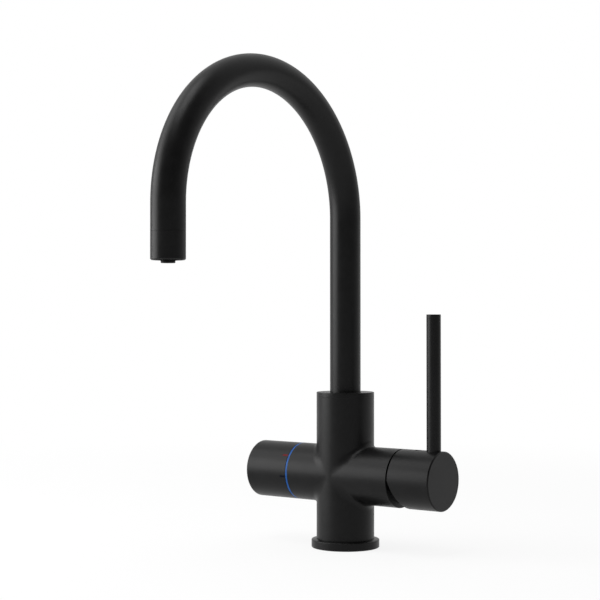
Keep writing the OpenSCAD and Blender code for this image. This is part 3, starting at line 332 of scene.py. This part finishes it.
def castArm(shape, turnLayer, side, endAt, sizes):
    rc, ra = sizes["columnRadius"] * mm, sizes["armRadius"] * mm
    h = armHeight * mm
    armEnd = Matrix.Translation((side * endAt * mm, 0, h)) @ Matrix.Rotation(math.radians(90), 4, "Y")
    circle = bmesh.ops.create_circle(shape, cap_ends=False, segments=sizes["around"], radius=ra, matrix=armEnd)
    start = circle["verts"]
    for v in start:
        v[turnLayer] = math.atan2(v.co.y, v.co.z - h)
    edges = [e for e in shape.edges if e.verts[0] in start and e.verts[1] in start]
    rim = list(edges)

    def ballRadius(a):
        # the fillet opens out towards the front and back of the crossing
        near = max(0.0, 1 - abs(math.cos(a)) / sizes["softTo"])
        return (sizes["fillet"] + sizes["softer"] * near ** 1.5) * mm

    def rolled(v, share):
        a = v[turnLayer]
        rf = ballRadius(a)
        y, z = (ra + rf) * math.sin(a), (ra + rf) * math.cos(a)
        x = math.sqrt((rc + rf) ** 2 - y * y)
        ball = Vector((x, y, z))
        toColumn = -Vector((x, y, 0)).normalized()
        toArm = -Vector((0, y, z)).normalized()
        spread = toColumn.angle(toArm)
        out = (toArm * math.sin((1 - share) * spread) + toColumn * math.sin(share * spread)) / math.sin(spread)
        touch = ball + rf * out
        return Vector((side * touch.x, touch.y, touch.z + h))

    for k in range(sizes["across"] + 1):
        edges = extrudeRing(shape, edges, lambda v, k=k: rolled(v, k / sizes["across"]))
    quarter = math.pi / 2 + 1e-4
    upper = [e for e in edges if all(abs(v[turnLayer]) < quarter for v in e.verts)]
    lower = [e for e in edges if all(abs(v[turnLayer]) > math.pi - quarter for v in e.verts)]
    extrudeRing(shape, upper, lambda v: Vector((v.co.x, v.co.y, sizes["top"] * mm)))
    extrudeRing(shape, lower, lambda v: Vector((v.co.x, v.co.y, sizes["seat"] * mm)))
    return rim


def loopAt(shape, test):
    return [e for e in shape.edges if e.is_boundary and all(test(v.co) for v in e.verts)]


def scaledTo(radius, centre, axis, start):
    # moves a ring's point to another radius round an axis, at another place along it
    def move(v):
        away = v.co - centre
        away -= away.dot(axis) * axis
        return centre + axis * start * mm + away.normalized() * radius * mm
    return move


def makeCasting(sizes):
    shape = startShape()
    turnLayer = shape.verts.layers.float.new("turn")
    mixerRim = castArm(shape, turnLayer, 1, sizes["mixerEnd"], sizes)
    filterRim = castArm(shape, turnLayer, -1, sizes["filterEnd"], sizes)
    h, rc = armHeight * mm, sizes["columnRadius"] * mm
    saddles = [v for v in shape.verts if abs(abs(v[turnLayer]) - math.pi / 2) < 1e-4
               and abs(v.co.xy.length - rc) < 1e-7]
    levels = sorted({round(v.co.z, 7) for v in saddles})
    strips = []
    for face in (1, -1):
        here = {(v.co.x > 0, round(v.co.z, 7)): v for v in saddles if v.co.y * face > 0}
        for low, high in zip(levels, levels[1:]):
            shape.faces.new([here[(True, low)], here[(False, low)], here[(False, high)], here[(True, high)]])
        strips += [shape.edges.get((here[(True, z)], here[(False, z)])) for z in levels]
    bmesh.ops.subdivide_edges(shape, edges=strips, cuts=3, use_grid_fill=True)
    for v in shape.verts:
        if abs(v.co.x) < 2.2 * mm and abs(v.co.xy.length - rc) < 0.2 * mm and v.co.xy.length > 0:
            if any(abs(v.co.z - z) < 1e-6 for z in levels):
                v.co.xy = v.co.xy.normalized() * rc
    shape.verts.layers.float.remove(turnLayer)
    shape.normal_update()
    zAxis, xAxis, origin, arm = Vector((0, 0, 1)), Vector((1, 0, 0)), Vector((0, 0, 0)), Vector((0, 0, h))
    top = loopAt(shape, lambda p: abs(p.z - sizes["top"] * mm) < 1e-6)
    foot = loopAt(shape, lambda p: abs(p.z - sizes["seat"] * mm) < 1e-6)
    topRim, footRim = list(top), list(foot)
    for radius, z in sizes["spoutBore"]:
        top = extrudeRing(shape, top, scaledTo(radius, origin, zAxis, z))
    for radius, z in ((sizes["foot"], sizes["seat"]), (sizes["foot"], 0.0)):
        foot = extrudeRing(shape, foot, scaledTo(radius, origin, zAxis, z))
    mixer = loopAt(shape, lambda p: abs(p.x - sizes["mixerEnd"] * mm) < 1e-6)
    for radius, x in sizes["mixerBore"]:
        mixer = extrudeRing(shape, mixer, scaledTo(radius, arm, xAxis, x))
    valve = loopAt(shape, lambda p: abs(p.x + sizes["filterEnd"] * mm) < 1e-6)
    for radius, x in sizes["valveBore"]:
        valve = extrudeRing(shape, valve, scaledTo(radius, arm, xAxis, x))
    for loop in (top, foot, mixer, valve):
        bmesh.ops.contextual_create(shape, geom=loop)
    bmesh.ops.recalc_face_normals(shape, faces=shape.faces)
    for rim, width in ((mixerRim, 1.3), (filterRim, 1.0), (topRim, 1.0), (footRim, 0.5)):
        soften(shape, [e for e in rim if e.is_valid], sizes["edge"] * width)
    return shape


casting = makeCasting(castSizes)
holeSizes = {"stud": 8.0, "studAt": 12.5, "studDepth": 14.0, "hose": 10.0, "hoseAt": 12.4, "hoseDepth": 11.0,
             "hoseAngles": (30, -30, 180), "stopScrew": 4.1, "stopHeight": 109.0, "stopFrom": 10.0, "stopTo": 30.0}
o = holeSizes
footHoles = [(o["stud"], 0.0, side * o["studAt"], o["studDepth"]) for side in (1, -1)]
footHoles += [(o["hose"], o["hoseAt"] * math.cos(math.radians(a)), o["hoseAt"] * math.sin(math.radians(a)),
               o["hoseDepth"]) for a in o["hoseAngles"]]
castTools = [drill(d, -1.0, depth, Matrix.Translation((x * mm, y * mm, 0))) for d, x, y, depth in footHoles]
stopScrewWay = Matrix.Translation((0, 0, o["stopHeight"] * mm)) @ Matrix.Rotation(math.radians(-90), 4, "X")
castTools.append(drill(o["stopScrew"], o["stopFrom"], o["stopTo"], stopScrewWay))
casting = cutAway(casting, upright, castTools)
finishPiece("columnCasting", casting, upright, "column", "mattBlack", "matt_black", "body")
print("casting made")

# ---------- rings on the column
baseSizes = {"outer": 27.6, "height": 6.4, "rise": 0.9, "seat": 4.9, "column": 23.5, "foot": 22.05,
             "topEdge": 0.5, "bottomEdge": 0.5, "innerEdge": 0.12, "grooveIn": 23.6, "grooveOut": 26.0, "groove": 1.2}
b = baseSizes
finishPiece("baseRing", turn([
    (b["foot"], 0), (b["grooveIn"], 0), (b["grooveIn"], b["groove"]), (b["grooveOut"], b["groove"]),
    (b["grooveOut"], 0), (b["outer"], 0, b["bottomEdge"], 1), (b["outer"], b["height"], b["topEdge"], 4),
    (b["column"], b["height"] + b["rise"], b["innerEdge"], 2), (b["column"], b["seat"]), (b["foot"], b["seat"])]),
    upright, "column", "mattBlack", "matt_black", "base_ring")

collarSizes = {"outer": 23.45, "bore": 12.58, "spigot": 19.95, "low": 116.0, "joint": 122.0, "top": 125.9,
               "edge": 0.4, "jointEdge": 0.12, "boreEdge": 0.25}
c = collarSizes
finishPiece("topCollar", turn([
    (c["bore"], c["low"]), (c["spigot"], c["low"]), (c["spigot"], c["joint"]), (c["outer"], c["joint"], c["jointEdge"]),
    (c["outer"], c["top"], c["edge"], 2), (c["bore"], c["top"], c["boreEdge"], 2)]), upright, "column", "mattBlack",
    "black_collar", "top_collar")

ringSizes = {"outer": 23.35, "bore": 13.78, "start": 42.5, "end": 44.1, "edge": 0.12}
r = ringSizes
finishPiece("blueRing", turn([
    (r["bore"], r["start"]), (r["outer"], r["start"], r["edge"], 2), (r["outer"], r["end"], r["edge"], 2),
    (r["bore"], r["end"])]), filterSide, "column", "blueRing", "blue_ring", "indicator_ring")

domeSizes = {"pivot": 46.0, "radius": 16.0, "wall": 1.0, "mouth": 11.3, "rim": 19.5, "flange": 7.0}


def domeProfile(d):
    inner, outer, low = d["radius"] - d["wall"], d["radius"], d["flange"]
    def arc(radius, fromHeight, steps=14):
        first, last = math.asin(fromHeight / radius), math.acos(d["mouth"] / radius)
        return [(radius * math.cos(first + (last - first) * k / steps),
                 d["pivot"] + radius * math.sin(first + (last - first) * k / steps)) for k in range(steps + 1)]
    rim = [(d["rim"], d["pivot"] + low), (d["rim"], d["pivot"] + low + d["wall"])]
    return arc(inner, low)[::-1] + rim + arc(outer, low + d["wall"])


finishPiece("cartridgeDome", turn(domeProfile(domeSizes), steps=128), mixerSide, "column", "blackPlastic",
            "black_plastic", "cartridge_cover")
print("column rings made")

# ---------- spout
neckSizes = {"radius": 12.5, "wall": 1.2, "foot": 100.0, "bendHeight": 266.85, "end": 246.3, "edge": 0.12,
             "around": 128, "bendSteps": 144}


def makeNeck(n):
    shape = startShape()
    bmesh.ops.create_circle(shape, cap_ends=False, segments=n["around"], radius=n["radius"] * mm,
                            matrix=Matrix.Translation((0, 0, n["foot"] * mm)))
    edges = extrudeRing(shape, list(shape.edges), lambda v: Vector((v.co.x, v.co.y, n["bendHeight"] * mm)))
    verts = list({v for e in edges for v in e.verts})
    bent = bmesh.ops.spin(shape, geom=verts + edges, cent=(0, -bendRadius * mm, n["bendHeight"] * mm), axis=(1, 0, 0),
                          angle=math.pi, steps=n["bendSteps"], use_duplicate=False)
    edges = [g for g in bent["geom_last"] if isinstance(g, bmesh.types.BMEdge)]
    end = Vector((0, -2 * bendRadius * mm, 0))
    zAxis = Vector((0, 0, 1))
    for radius, z in ((n["radius"], n["end"] + 3 * n["edge"]), (n["radius"], n["end"] + n["edge"]),
                      (n["radius"] - n["edge"], n["end"])):
        edges = extrudeRing(shape, edges, scaledTo(radius, end, zAxis, z))
    bmesh.ops.remove_doubles(shape, verts=shape.verts, dist=1e-6)
    bmesh.ops.recalc_face_normals(shape, faces=shape.faces)
    if sum((f.calc_center_median() - Vector((0, 0, f.calc_center_median().z))).dot(f.normal)
           for f in shape.faces if f.calc_center_median().z < 0.26 and abs(f.calc_center_median().y) < 0.02) < 0:
        bmesh.ops.reverse_faces(shape, faces=shape.faces)
    return shape


neck = finishPiece("swanNeck", makeNeck(neckSizes), upright, "spout", "mattBlack", "matt_black", "spout_tube")
wall = neck.modifiers.new("tube wall", "SOLIDIFY")
wall.thickness = neckSizes["wall"] * mm
wall.offset = -1
neck.modifiers.move(1, 0)

sleeveSizes = {"outer": 12.5, "bore": 10.85, "low": 226.2, "top": 246.3, "neck": 11.25, "neckTop": 256.3,
               "ledge": 238.45, "hole": 8.85, "bottomEdge": 0.75, "boreEdge": 0.2, "seamEdge": 0.14}
s = sleeveSizes
finishPiece("outletSleeve", turn([
    (s["bore"], s["low"], s["boreEdge"], 1), (s["outer"], s["low"], s["bottomEdge"], 1),
    (s["outer"], s["top"], s["seamEdge"], 2), (s["neck"], s["top"]), (s["neck"], s["neckTop"]),
    (s["hole"], s["neckTop"]), (s["hole"], s["ledge"]), (s["bore"], s["ledge"])]), underOutlet, "spout", "mattBlack",
    "matt_black", "outlet_sleeve")

nozzleSizes = {"bore": 2.0, "tip": 5.1, "out": 224.1, "gripLow": 225.5, "gripTop": 227.2, "grip": 5.4, "body": 4.95,
               "teeth": 16, "toothDepth": 0.35, "boreEdge": 0.25, "tipEdge": 0.35, "groove": 3.75, "grooveLow": 230.0,
               "grooveTop": 231.6, "flange": 6.45, "flangeLow": 233.65, "flangeTop": 235.65, "spigot": 2.95,
               "spigotTop": 247.45}


def makeNozzle(n):
    shape = turn([
        (n["bore"], n["out"], n["boreEdge"], 2), (n["tip"], n["out"], n["tipEdge"], 3), (n["tip"], n["gripLow"]),
        (n["grip"], n["gripLow"]), (n["grip"], n["gripTop"]), (n["body"], n["gripTop"]), (n["body"], n["grooveLow"]),
        (n["groove"], n["grooveLow"]), (n["groove"], n["grooveTop"]), (n["body"], n["grooveTop"]),
        (n["body"], n["flangeLow"]), (n["flange"], n["flangeLow"]), (n["flange"], n["flangeTop"]),
        (n["spigot"], n["flangeTop"]), (n["spigot"], n["spigotTop"]), (n["bore"], n["spigotTop"])])
    steps = 192  # as many as turn() makes round the axis
    perTooth = steps // n["teeth"]
    for v in shape.verts:
        if v.co.xy.length > (n["grip"] - 0.01) * mm and v.co.z < n["gripTop"] * mm + 1e-6:
            place = round(math.atan2(v.co.y, v.co.x) * steps / (2 * math.pi)) % perTooth
            if place < perTooth // 2:
                v.co.xy *= 1 - n["toothDepth"] / n["grip"]
    return shape


finishPiece("waterNozzle", makeNozzle(nozzleSizes), underOutlet, "spout", "blackPlastic", "black_plastic",
            "outlet_nozzle")
print("spout made")

# ---------- filter knob
knobSizes = {"radius": 23.35, "start": 44.4, "end": 85.5, "outerEdge": 1.2, "innerEdge": 0.16, "bore": 20.3,
             "boreEnd": 52.0, "boreEdge": 0.1, "seat": 10.05, "seatEnd": 68.5, "grubAt": 59.0, "grubHole": 5.1,
             "grubLow": -30.0, "grubTop": -5.0, "grubEdge": 0.15}
k = knobSizes
grubPlace = Matrix.Translation((-k["grubAt"] * mm, 0, armHeight * mm))
knob = cutAway(turn([
    (0, k["end"]), (k["radius"], k["end"], k["outerEdge"], 6), (k["radius"], k["start"], k["innerEdge"], 3),
    (k["bore"], k["start"], k["boreEdge"], 1), (k["bore"], k["boreEnd"]), (k["seat"], k["boreEnd"]),
    (k["seat"], k["seatEnd"]), (0, k["seatEnd"])]), filterSide,
    [drill(k["grubHole"], k["grubLow"], k["grubTop"], grubPlace)])
grubRim = rimEdges(knob, grubPlace.translation, Vector((0, 0, 1)), k["grubHole"] / 2, -24.0, -21.0)
soften(knob, grubRim, k["grubEdge"], 2)
finishPiece("filterKnob", knob, upright, "filter_knob", "mattBlack", "matt_black", "filter_knob_shell")

markSizes = {"radius": 23.35, "proud": 0.02, "sunk": 0.25, "width": 1.5, "length": 5.2, "start": 44.8}


def makeMark(angle, m):
    # a thin paint-filled tick, bent round the knob; the angle is from the knob's front line upwards
    shape = startShape()
    bmesh.ops.create_grid(shape, x_segments=10, y_segments=6, size=0.5)
    low, high = (m["radius"] - m["sunk"]) * mm, (m["radius"] + m["proud"]) * mm
    bmesh.ops.solidify(shape, geom=shape.faces, thickness=high - low)
    middle = sum(v.co.z for v in shape.verts) / len(shape.verts)
    for v in shape.verts:
        radius = high if v.co.z > middle else low
        swing = math.radians(angle) + v.co.y * m["width"] / m["radius"]
        along = m["start"] + (v.co.x + 0.5) * m["length"]
        v.co = Vector((-along * mm, -radius * math.cos(swing), armHeight * mm + radius * math.sin(swing)))
    bmesh.ops.recalc_face_normals(shape, faces=shape.faces)
    return shape


finishPiece("redTick", makeMark(37.0, markSizes), upright, "filter_knob", "redPaint", "red_paint", "red_mark")
finishPiece("darkTick", makeMark(-7.4, markSizes), upright, "filter_knob", "darkPaint", "dark_paint", "dark_mark")
print("filter knob made")

# ---------- mixer handle and lever
handleSizes = {"radius": 23.35, "start": 56.1, "end": 93.65, "slant": 21.3, "endEdge": 0.85, "innerEdge": 0.16,
               "bore": 20.3, "boreEnd": 64.5, "boss": 9.0, "bossStart": 60.6, "leverAt": 84.7, "leverHole": 11.4,
               "leverSeat": 14.95, "sink": 0.3, "plugAt": 70.6, "plugHole": 6.1, "plugDepth": 5.0, "stem": 8.1,
               "stemEnd": 78.55, "bossEdge": 0.3, "plugEdge": 0.12, "grubHole": 5.1, "threadHole": 8.1,
               "threadDepth": 8.0, "cutRimTo": 67.0}


def makeHandle(h):
    shape = turn([(0, h["end"]), (h["radius"], h["end"], h["endEdge"], 1), (h["radius"], h["start"]),
                  (h["bore"], h["start"]), (h["bore"], h["boreEnd"]), (h["boss"], h["boreEnd"]),
                  (h["boss"], h["bossStart"], h["bossEdge"], 2), (0, h["bossStart"])], steps=256)
    shape.transform(mixerSide)
    slope = math.radians(h["slant"])
    pivot = Vector((h["start"] * mm, 0, armHeight * mm))
    normal = Vector((math.cos(slope), 0, math.sin(slope)))
    bmesh.ops.bisect_plane(shape, geom=[*shape.verts, *shape.edges, *shape.faces], dist=1e-7, plane_co=pivot,
                           plane_no=normal, clear_inner=True)
    openEdges = [e for e in shape.edges if e.is_boundary]
    bmesh.ops.edgenet_fill(shape, edges=openEdges)
    bmesh.ops.recalc_face_normals(shape, faces=shape.faces)
    axis = Vector((0, 0, armHeight * mm))
    rim = []
    for e in shape.edges:
        if e.is_boundary or len(e.link_faces) != 2 or e.calc_face_angle(0) < math.radians(30):
            continue
        if all(abs((v.co - axis).yz.length - h["radius"] * mm) < 2e-6 and v.co.x < h["cutRimTo"] * mm
               for v in e.verts):
            rim.append(e)
    soften(shape, rim, h["innerEdge"], 3)
    print("handle cut edges", len(openEdges), "rim", len(rim))
    return shape


h = handleSizes
leverPlace = Matrix.Translation((h["leverAt"] * mm, 0, armHeight * mm))
plugPlace = Matrix.Translation((h["plugAt"] * mm, 0, armHeight * mm))
sinkShape = bmesh.new()
sinkDepth = 2 * h["sink"]
bmesh.ops.create_cone(sinkShape, cap_ends=True, segments=96, radius1=h["leverHole"] / 2 * mm,
                      radius2=(h["leverHole"] / 2 + sinkDepth) * mm, depth=sinkDepth * mm,
                      matrix=Matrix.Translation((0, 0, (h["radius"] - h["sink"] + sinkDepth / 2) * mm)))
handle = cutAway(makeHandle(handleSizes), upright, [  # the tools run on past the handle's faces
    drill(h["leverHole"], h["leverSeat"], 40.0, leverPlace), cutter(sinkShape, leverPlace),
    drill(h["threadHole"], h["leverSeat"] - h["threadDepth"], 30.0, leverPlace),
    drill(h["plugHole"], h["radius"] - h["plugDepth"], 40.0, plugPlace), drill(h["grubHole"], 0.0, 30.0, plugPlace),
    block((50.0, -h["stem"] / 2, armHeight - h["stem"] / 2), (h["stemEnd"], h["stem"] / 2, armHeight + h["stem"] / 2))])
plugRim = rimEdges(handle, plugPlace.translation, Vector((0, 0, 1)), h["plugHole"] / 2, 22.0, 24.0)
soften(handle, plugRim, h["plugEdge"], 2)
finishPiece("mixerHandle", handle, upright, "mixer_handle", "mattBlack", "matt_black", "handle_shell")

plugSizes = {"radius": 3.0, "low": 18.4, "face": 22.2, "edge": 0.3}
q = plugSizes
finishPiece("screwPlug", turn([
    (0, q["low"]), (q["radius"], q["low"]), (q["radius"], q["face"], q["edge"], 3), (0, q["face"])], steps=64),
    plugPlace, "mixer_handle", "plugPlastic", "black_plastic", "handle_screw_plug")

leverSizes = {"radius": 5.65, "seat": 73.95, "joint": 185.5, "top": 188.8, "topEdge": 0.35, "seamEdge": 0.12,
              "thread": 4.0, "threadLow": 66.95, "pinHole": 2.825, "pin": 2.775, "pinLow": 180.5, "holeLow": 179.5,
              "threadEdge": 0.4, "seatEdge": 0.2, "pinEdge": 0.3}
p = leverSizes
leverAxis = Matrix.Translation((handleSizes["leverAt"] * mm, 0, 0))
finishPiece("leverRod", turn([
    (0, p["threadLow"]), (p["thread"], p["threadLow"], p["threadEdge"], 1), (p["thread"], p["seat"]),
    (p["radius"], p["seat"], p["seatEdge"], 1), (p["radius"], p["joint"], p["seamEdge"], 2),
    (p["pinHole"], p["joint"]), (p["pinHole"], p["holeLow"]), (0, p["holeLow"])], steps=128), leverAxis,
    "mixer_handle", "mattBlack", "matt_black", "lever_rod")
finishPiece("leverCap", turn([
    (0, p["top"]), (p["radius"], p["top"], p["topEdge"], 3), (p["radius"], p["joint"], p["seamEdge"], 2),
    (p["pin"], p["joint"]), (p["pin"], p["pinLow"], p["pinEdge"], 1), (0, p["pinLow"])], steps=128), leverAxis,
    "mixer_handle", "mattBlack", "matt_black", "lever_cap")
print("handle and lever made")

# ---------- floor, light and camera
viewSizes = {"yaw": 37.422, "pitch": 0.882, "place": (675.36, -943.52, 183.0), "lens": 85.197}
scene = bpy.context.scene
cameraData = bpy.data.cameras.new("camera")
cameraData.sensor_width = 36
cameraData.lens = viewSizes["lens"]
cameraData.clip_start = 0.05
cameraData.clip_end = 100
camera = bpy.data.objects.new("camera", cameraData)
camera.location = [x * mm for x in viewSizes["place"]]
camera.rotation_euler = (math.radians(90 + viewSizes["pitch"]), 0, math.radians(viewSizes["yaw"]))
scene.collection.objects.link(camera)
scene.camera = camera

# each lamp stands at an angle from the studio's front, to the right if positive, and faces the faucet
lampLooks = {
    "leftBox": {"turn": -90, "lift": 12, "away": 1.5, "width": 1.2, "height": 0.95, "power": 18.5},
    "leftHigh": {"turn": -100, "lift": 45, "away": 1.5, "width": 0.9, "height": 0.8, "power": 4.6},
    "topBox": {"turn": -45, "lift": 72, "away": 1.5, "width": 0.8, "height": 0.7, "power": 8.4},
    "backBox": {"turn": 130, "lift": 15, "away": 1.6, "width": 0.9, "height": 1.0, "power": 0.6},
}
aim = Vector((0, -0.09, 0.17))
frontAngle = math.radians(37.7)  # the studio's front, measured from -Y
frontWay = Vector((math.sin(frontAngle), -math.cos(frontAngle), 0))


def makeLamp(name, look):
    data = bpy.data.lights.new(name, "AREA")
    data.shape = "RECTANGLE"
    data.size, data.size_y = look["width"], look["height"]
    data.energy = look["power"]
    angle = math.radians(look["turn"]) + frontAngle
    lift = math.radians(look["lift"])
    back = Vector((math.sin(angle) * math.cos(lift), -math.cos(angle) * math.cos(lift), math.sin(lift)))
    lamp = bpy.data.objects.new(name, data)
    lamp.location = aim + back * look["away"]
    lamp.rotation_euler = back.to_track_quat("Z", "Y").to_euler()
    lamp.visible_camera = False
    scene.collection.objects.link(lamp)
    return lamp


for name, look in lampLooks.items():
    makeLamp(name, look)

# floor and backdrop are white to the camera and in every reflection, and plain pale to other rays
roomLook = {"low": 0.55, "high": 0.92, "lowTo": 0.1, "highFrom": 0.7, "front": 0.18,
            "litBelow": -0.2, "darkAbove": 0.45}
floorLook = {"size": 80.0, "pale": 0.82, "whiteNear": 0.86, "whiteFar": 1.0, "fadeFrom": 0.35, "fadeTo": 1.1}
backdropLook = {"away": 2.6, "width": 1.8, "height": 1.1, "pale": 0.82}


def makeStageMaterial(name, pale):
    material = bpy.data.materials.new(name)
    material.use_nodes = True
    tree = material.node_tree
    tree.nodes.clear()
    paths = addNode(tree, "ShaderNodeLightPath").outputs
    sharp = addNode(tree, "ShaderNodeMath", {"operation": "ADD"}, i0=paths["Is Camera Ray"], i1=paths["Is Glossy Ray"])
    seen = addNode(tree, "ShaderNodeMath", {"operation": "ADD", "use_clamp": True}, i0=sharp.outputs["Value"],
                   i1=paths["Is Transmission Ray"])
    plain = addNode(tree, "ShaderNodeBsdfDiffuse", Color=(pale, pale, pale, 1))
    white = addNode(tree, "ShaderNodeEmission", Color=(1, 1, 1, 1), Strength=1.0)
    return material, tree, seen.outputs["Value"], plain.outputs["BSDF"], white.outputs["Emission"]


def finishStage(name, shape, material):
    mesh = bpy.data.meshes.new(name)
    shape.to_mesh(mesh)
    shape.free()
    mesh.materials.append(material)
    stage = bpy.data.objects.new(name, mesh)
    scene.collection.objects.link(stage)
    return stage


def makeFloor(look):
    material, tree, seen, plain, white = makeStageMaterial("paleFloor", look["pale"])
    place = addNode(tree, "ShaderNodeTexCoord").outputs["Object"]
    away = addNode(tree, "ShaderNodeVectorMath", {"operation": "LENGTH"}, i0=place)
    share = addNode(tree, "ShaderNodeMapRange", {"interpolation_type": "SMOOTHSTEP"}, Value=away.outputs["Value"],
                    From_Min=look["fadeFrom"], From_Max=look["fadeTo"],
                    To_Min=look["whiteNear"], To_Max=look["whiteFar"])
    shown = addNode(tree, "ShaderNodeMath", {"operation": "MULTIPLY"}, i0=seen, i1=share.outputs["Result"])
    above = addNode(tree, "ShaderNodeMixShader", i0=shown.outputs["Value"], i1=plain, i2=white)
    clear = addNode(tree, "ShaderNodeBsdfTransparent")
    below = addNode(tree, "ShaderNodeNewGeometry").outputs["Backfacing"]
    both = addNode(tree, "ShaderNodeMixShader", i0=below, i1=above.outputs["Shader"], i2=clear.outputs["BSDF"])
    tree.links.new(both.outputs["Shader"], addNode(tree, "ShaderNodeOutputMaterial").inputs["Surface"])
    shape = bmesh.new()
    bmesh.ops.create_grid(shape, x_segments=1, y_segments=1, size=look["size"] / 2)
    finishStage("floor", shape, material)


def makeBackdrop(look):
    material, tree, seen, plain, white = makeStageMaterial("whiteBackdrop", look["pale"])
    both = addNode(tree, "ShaderNodeMixShader", i0=seen, i1=plain, i2=white)
    tree.links.new(both.outputs["Shader"], addNode(tree, "ShaderNodeOutputMaterial").inputs["Surface"])
    shape = bmesh.new()
    bmesh.ops.create_grid(shape, x_segments=1, y_segments=1, size=0.5)
    bmesh.ops.scale(shape, vec=(look["width"], look["height"], 1), verts=shape.verts)
    turnIt = Matrix.Rotation(frontAngle, 4, "Z") @ Matrix.Rotation(math.radians(90), 4, "X")
    shape.transform(Matrix.Translation(Vector((0, 0, look["height"] / 2)) - frontWay * look["away"]) @ turnIt)
    finishStage("backdrop", shape, material)


def makeRoom(look):
    world = bpy.data.worlds.new("studio")
    scene.world = world
    world.use_nodes = True
    tree = world.node_tree
    tree.nodes.clear()
    heading = addNode(tree, "ShaderNodeTexCoord").outputs["Generated"]
    up = addNode(tree, "ShaderNodeSeparateXYZ", Vector=heading).outputs["Z"]
    wall = addNode(tree, "ShaderNodeMapRange", {"interpolation_type": "SMOOTHSTEP"}, Value=up, From_Min=look["lowTo"],
                   From_Max=look["highFrom"], To_Min=look["low"], To_Max=look["high"])
    ahead = addNode(tree, "ShaderNodeVectorMath", {"operation": "DOT_PRODUCT"}, i0=heading, i1=frontWay)
    lit = addNode(tree, "ShaderNodeMapRange", {"interpolation_type": "SMOOTHSTEP"}, Value=ahead.outputs["Value"],
                  From_Min=look["darkAbove"], From_Max=look["litBelow"], To_Min=0.0, To_Max=1.0)
    front = addNode(tree, "ShaderNodeMix", {"data_type": "FLOAT"}, Factor=lit.outputs["Result"], i2=look["front"],
                    i3=wall.outputs["Result"])
    room = addNode(tree, "ShaderNodeBackground", Color=(1, 1, 1, 1), Strength=front.outputs[0])
    tree.links.new(room.outputs["Background"], addNode(tree, "ShaderNodeOutputWorld").inputs["Surface"])


makeFloor(floorLook)
makeBackdrop(backdropLook)
makeRoom(roomLook)
scene.view_settings.view_transform = "Standard"
print("studio made")
